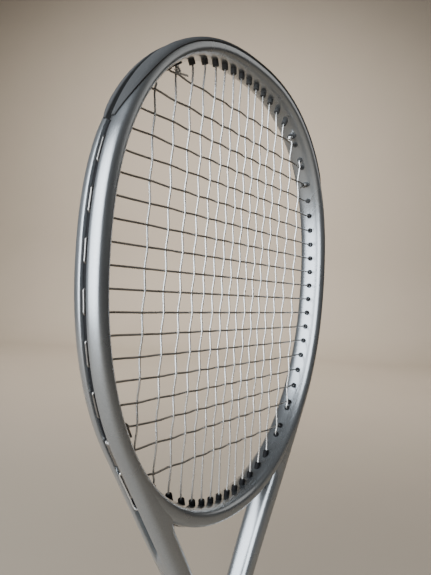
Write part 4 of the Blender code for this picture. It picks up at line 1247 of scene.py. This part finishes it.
def grain_group():
    """Fine grain for a bump's height, and a slow drift of tone between 0 and 1."""
    takes = ("Grain per metre", "Drift per metre")
    tree, inputs, outputs, where = new_group("surface_grain", takes, ("Height", "Drift"))
    grain = add_node(tree, "ShaderNodeTexNoise", {"Detail": 3.0, "Roughness": 0.6})
    drift = add_node(tree, "ShaderNodeTexNoise", {"Detail": 4.0})
    link(
        tree,
        (where, "Object", grain, "Vector"),
        (where, "Object", drift, "Vector"),
        (inputs, "Grain per metre", grain, "Scale"),
        (inputs, "Drift per metre", drift, "Scale"),
        (grain, "Fac", outputs, "Height"),
        (drift, "Fac", outputs, "Drift"),
    )
    return tree


def flake_group():
    """Random tilt and sparkle of metal flakes in a paint."""
    tree, inputs, outputs, where = new_group("paint_flake", ("Flakes per metre",), ("Tilt", "Sparkle"))
    cells = add_node(tree, "ShaderNodeTexVoronoi")
    apart = add_node(tree, "ShaderNodeSeparateColor")
    link(
        tree,
        (where, "Object", cells, "Vector"),
        (inputs, "Flakes per metre", cells, "Scale"),
        (cells, "Color", apart, "Color"),
        (apart, "Red", outputs, "Tilt"),
        (apart, "Green", outputs, "Sparkle"),
    )
    return tree


def scuff_group():
    """Short worn marks along the tube: Strength on a mark, 0 between marks."""
    takes = ("Marks per metre", "Threshold", "Strength")
    tree, inputs, outputs, where = new_group("worn_scuffs", takes, ("Mask",))
    drawn = add_node(tree, "ShaderNodeMapping", {"Scale": SCUFF_STRETCH})
    marks = add_node(tree, "ShaderNodeTexNoise", {"Detail": 6.0, "Roughness": 0.7})
    above = add_node(tree, "ShaderNodeMath", {1: SCUFF_EDGE})
    edge = add_node(tree, "ShaderNodeMapRange")
    link(
        tree,
        (where, "Object", drawn, "Vector"),
        (drawn, "Vector", marks, "Vector"),
        (inputs, "Marks per metre", marks, "Scale"),
        (marks, "Fac", edge, "Value"),
        (inputs, "Threshold", above, 0),
        (inputs, "Threshold", edge, "From Min"),
        (above, "Value", edge, "From Max"),
        (inputs, "Strength", edge, "To Max"),
        (edge, "Result", outputs, "Mask"),
    )
    return tree


GRAIN = grain_group()
FLAKE = flake_group()
SCUFF = scuff_group()
print("groups", GRAIN.name, FLAKE.name, SCUFF.name)

# %% [markdown]
# ## Finishes
# Each material starts from one recipe: two close tones mixed by the drift, a roughness that drifts with
# them, and a bump from the grain. Values that don't change over the surface sit on the shader itself.

# %% Material recipe
DRIFT_LOW = 0.3
DRIFT_HIGH = 0.7


def surface_finish(
    name, tones, roughness, grain, drift, bump, metallic=0.0, coat=0.0, coat_roughness=0.1, gloss=0.5
):
    """Material with two tones, a drifting roughness and a grain; returns it with its nodes for additions."""
    material = bpy.data.materials.new(name)
    material.use_nodes = True
    tree = material.node_tree
    shader = tree.nodes["Principled BSDF"]
    shader.inputs["Metallic"].default_value = metallic
    shader.inputs["Specular IOR Level"].default_value = gloss
    shader.inputs["Coat Weight"].default_value = coat
    shader.inputs["Coat Roughness"].default_value = coat_roughness
    scales = {"Grain per metre": grain, "Drift per metre": drift}
    surface = add_node(tree, "ShaderNodeGroup", scales, node_tree=GRAIN)
    both = {"A": (*tones[0], 1.0), "B": (*tones[1], 1.0)}
    colour = add_node(tree, "ShaderNodeMix", both, data_type="RGBA")
    span = {"From Min": DRIFT_LOW, "From Max": DRIFT_HIGH, "To Min": roughness[0], "To Max": roughness[1]}
    rough = add_node(tree, "ShaderNodeMapRange", span)
    height = add_node(tree, "ShaderNodeBump", {"Strength": 1.0, "Distance": bump})
    link(
        tree,
        (surface, "Drift", colour, "Factor"),
        (colour, "Result", shader, "Base Color"),
        (surface, "Drift", rough, "Value"),
        (rough, "Result", shader, "Roughness"),
        (surface, "Height", height, "Height"),
        (height, "Normal", shader, "Normal"),
    )
    return material, shader, colour, height


def scuff(material, shader, under, tone, marks, threshold, strength):
    """Lays worn marks of one tone over the colour that a node gives."""
    tree = material.node_tree
    values = {"Marks per metre": marks, "Threshold": threshold, "Strength": strength}
    worn = add_node(tree, "ShaderNodeGroup", values, node_tree=SCUFF)
    over = add_node(tree, "ShaderNodeMix", {"B": (*tone, 1.0)}, data_type="RGBA")
    link(
        tree,
        (worn, "Mask", over, "Factor"),
        (under, "Result", over, "A"),
        (over, "Result", shader, "Base Color"),
    )


def dress(material, *pieces):
    """Gives pieces one material, in place of what they had."""
    for piece in pieces:
        piece.data.materials.clear()
        piece.data.materials.append(material)
    print(material.name, "on", [piece.name for piece in pieces])


# %% [markdown]
# The tube and the bridge wear a silver-grey metallic paint under clear lacquer. Flakes tilt the light a
# little from spot to spot, and the lacquer above them stays smooth.

# %% Silver paint
FLAKES_PER_METRE = 3200
SPARKLE = 0.18
FLAKE_TILT = {"Distance": 0.00001, "Strength": 0.5}

silver, shader, colour, height = surface_finish(
    "silver_lacquer",
    tones=((0.30, 0.318, 0.334), (0.35, 0.37, 0.388)),
    roughness=(0.24, 0.32),
    grain=900,
    drift=18,
    bump=0.00001,
    metallic=0.85,
    coat=0.4,
    coat_roughness=0.18,
)
paint = silver.node_tree
flake = add_node(paint, "ShaderNodeGroup", {"Flakes per metre": FLAKES_PER_METRE}, node_tree=FLAKE)
sparkle = add_node(paint, "ShaderNodeMix", {"Factor": SPARKLE}, data_type="RGBA", blend_type="MULTIPLY")
tilt = add_node(paint, "ShaderNodeBump", FLAKE_TILT)
link(
    paint,
    (colour, "Result", sparkle, "A"),
    (flake, "Sparkle", sparkle, "B"),
    (flake, "Tilt", tilt, "Height"),
    (height, "Normal", tilt, "Normal"),
    (tilt, "Normal", shader, "Normal"),
)
scuff(silver, shader, sparkle, tone=(0.16, 0.16, 0.16), marks=300, threshold=0.68, strength=0.25)
dress(silver, frame_shell, bridge_shell)

# %% [markdown]
# The guard's plastic is dull and dark, and carries the most marks.

# %% Guard plastic
guard_plastic, shader, colour, _ = surface_finish(
    "bumper_plastic",
    tones=((0.030, 0.031, 0.032), (0.050, 0.051, 0.052)),
    roughness=(0.70, 0.85),
    grain=2600,
    drift=40,
    bump=0.00005,
    gloss=0.25,
)
scuff(guard_plastic, shader, colour, tone=(0.11, 0.11, 0.107), marks=620, threshold=0.57, strength=0.32)
dress(guard_plastic, bumper)

# %% [markdown]
# The strips, the strings and the handle's pieces differ mainly in tone, gloss and grain, so they are rows
# of one table: the material's name, its two tones, its roughness, the grain and the drift per metre, the
# bump's height in metres, what else the shader is told, and the pieces that wear it.

# %% Plastics, strings, rubber and grip
pallets = (cad["handle_pallet_front"], cad["handle_pallet_back"])
staples = (cad["butt_staple_front"], cad["butt_staple_back"])
strips = (left_strip, right_strip, lower_strip)
PLAIN_FINISHES = (
    (
        "black_nylon", (0.006, 0.006, 0.007), (0.010, 0.010, 0.011),
        (0.52, 0.66), 3000, 60, 0.00002, {"gloss": 0.08}, strips,
    ),
    (
        "pearl_string", (0.62, 0.62, 0.61), (0.70, 0.70, 0.69),
        (0.22, 0.32), 4000, 120, 0.00001, {"metallic": 0.85}, [main_piece],
    ),
    # The cross string is the same string as the mains; its dark tones are painted shade, for the light that
    # runs along the crosses and leaves them dim.
    (
        "cross_string_painted_shade", (0.20, 0.19, 0.18), (0.26, 0.25, 0.24),
        (0.24, 0.34), 4000, 120, 0.00001, {"metallic": 0.9}, [cross_piece],
    ),
    (
        "black_cap", (0.012, 0.012, 0.013), (0.018, 0.018, 0.019),
        (0.40, 0.52), 2400, 50, 0.00004, {}, [cap_shell],
    ),
    (
        "grip_leather", (0.014, 0.014, 0.015), (0.024, 0.024, 0.025),
        (0.62, 0.80), 1500, 60, 0.00020, {}, [grip],
    ),
    (
        "tape_film", (0.020, 0.020, 0.021), (0.030, 0.030, 0.031),
        (0.30, 0.42), 1200, 80, 0.00004, {}, [tape_band],
    ),
    (
        "soft_rubber", (0.013, 0.013, 0.013), (0.021, 0.021, 0.021),
        (0.55, 0.70), 2200, 60, 0.00005, {}, [collar],
    ),
    (
        "pale_foam", (0.48, 0.43, 0.33), (0.56, 0.51, 0.41),
        (0.7, 0.85), 1800, 50, 0.00010, {}, pallets,
    ),
    (
        "bright_steel", (0.55, 0.55, 0.55), (0.62, 0.62, 0.62),
        (0.25, 0.35), 4000, 100, 0.00001, {"metallic": 1.0}, staples,
    ),
)
for name, low_tone, high_tone, roughness, grain, drift, bump, told, pieces in PLAIN_FINISHES:
    made = surface_finish(name, (low_tone, high_tone), roughness, grain, drift, bump, **told)
    dress(made[0], *pieces)

# %% [markdown]
# ## Floor and light
# The floor is a wide pale sheet whose back edge is drawn up into a wall in one soft curve, as on a studio
# table, so that no horizon cuts the picture, and whose left edge ends at the large panel, past which it
# would be dark. The photograph's light comes broadly from the left and the space in front is dim, which
# is why the tube's left shoulder shines and its front is grey. A large cool panel gives the light from
# the left. A weak one at the right front is mirrored in the face of the head's top. A third lights only
# the sheet behind, and the rest is a glow.

# %% Floor sweep
FLOOR_SIZE = 5.4
FLOOR_BACK = 3.2
COVE_RADIUS = 1.0
COVE_STEPS = 12
WALL_HEIGHT = 3.0
VIEW_TURN = math.radians(39.6)
FLOOR_LEFT = -1.85
COVE_SHARP = 40

bpy.ops.object.select_all(action="DESELECT")
bpy.ops.mesh.primitive_plane_add(size=FLOOR_SIZE, location=(0, FLOOR_BACK - FLOOR_SIZE / 2, 0))
floor = bpy.context.active_object
floor.name = "floor_sweep"
bpy.ops.object.transform_apply(location=True, rotation=True, scale=True)
bpy.ops.object.mode_set(mode="EDIT")
bpy.ops.mesh.select_mode(type="EDGE")
bpy.ops.mesh.select_all(action="DESELECT")
shape = bmesh.from_edit_mesh(floor.data)
for edge in shape.edges:
    edge.select_set(min(vert.co.y for vert in edge.verts) > 0)
bmesh.update_edit_mesh(floor.data)
for step in range(COVE_STEPS):
    before = QUARTER * step / COVE_STEPS
    after = QUARTER * (step + 1) / COVE_STEPS
    back = COVE_RADIUS * (math.sin(after) - math.sin(before))
    rise = COVE_RADIUS * (math.cos(before) - math.cos(after))
    bpy.ops.mesh.extrude_region_move(TRANSFORM_OT_translate={"value": (0, back, rise)})
bpy.ops.mesh.extrude_region_move(TRANSFORM_OT_translate={"value": (0, 0, WALL_HEIGHT)})
bpy.ops.object.mode_set(mode="OBJECT")
bpy.ops.object.shade_smooth_by_angle(angle=math.radians(COVE_SHARP))
floor.rotation_euler.z = VIEW_TURN - QUARTER
bpy.ops.object.transform_apply(location=True, rotation=True, scale=True)
bpy.ops.object.mode_set(mode="EDIT")
bpy.ops.mesh.select_all(action="SELECT")
bpy.ops.mesh.bisect(plane_co=(FLOOR_LEFT, 0, 0), plane_no=(1, 0, 0), clear_inner=True)
bpy.ops.object.mode_set(mode="OBJECT")
paper_tones = ((0.43, 0.36, 0.28), (0.46, 0.39, 0.31))
floor_paper = surface_finish(
    "floor_paper", paper_tones, roughness=(0.85, 0.95), grain=300, drift=3, bump=0.0001
)
dress(floor_paper[0], floor)
print("floor", len(floor.data.polygons), "faces")

# %% Lights and room
ROOM_GLOW = 0.08
ROOM_SEEN = 0.5
ROOM_TINT = (1.0, 0.95, 0.88, 1.0)


def panel(name, place, aim, size, power, tint, spread=180):
    """Soft rectangular light aimed at a point."""
    data = bpy.data.lights.new(name, "AREA")
    data.shape = "RECTANGLE"
    data.size, data.size_y = size
    data.energy = power
    data.color = tint
    data.spread = math.radians(spread)
    light = bpy.data.objects.new(name, data)
    bpy.context.scene.collection.objects.link(light)
    light.location = place
    light.rotation_euler = (Vector(aim) - Vector(place)).to_track_quat("-Z", "Y").to_euler()


panel(
    "window_panel", place=(-1.9, 0.1, 1.0), aim=(0.0, 0.0, 0.8),
    size=(3.2, 2.0), power=120, tint=(0.88, 0.94, 1.0), spread=140,
)
panel(
    "backdrop_panel", place=(0.7, 0.6, 3.3), aim=(3.0, 2.5, 0.7),
    size=(3.0, 1.6), power=105, tint=(1.0, 0.97, 0.93), spread=112,
)
panel(
    "room_panel", place=(2.34, -1.5, 2.25), aim=(0.0, 0.0, 0.65),
    size=(1.6, 2.0), power=10, tint=(1.0, 0.97, 0.92),
)
world = bpy.data.worlds.new("studio")
world.use_nodes = True
room = world.node_tree.nodes["Background"]
room.inputs["Color"].default_value = ROOM_TINT
seen = add_node(world.node_tree, "ShaderNodeLightPath")
level = add_node(world.node_tree, "ShaderNodeMapRange", {"To Min": ROOM_GLOW, "To Max": ROOM_SEEN})
link(
    world.node_tree,
    (seen, "Is Camera Ray", level, "Value"),
    (level, "Result", room, "Strength"),
)
bpy.context.scene.world = world
print("lights", [light.name for light in bpy.data.lights])
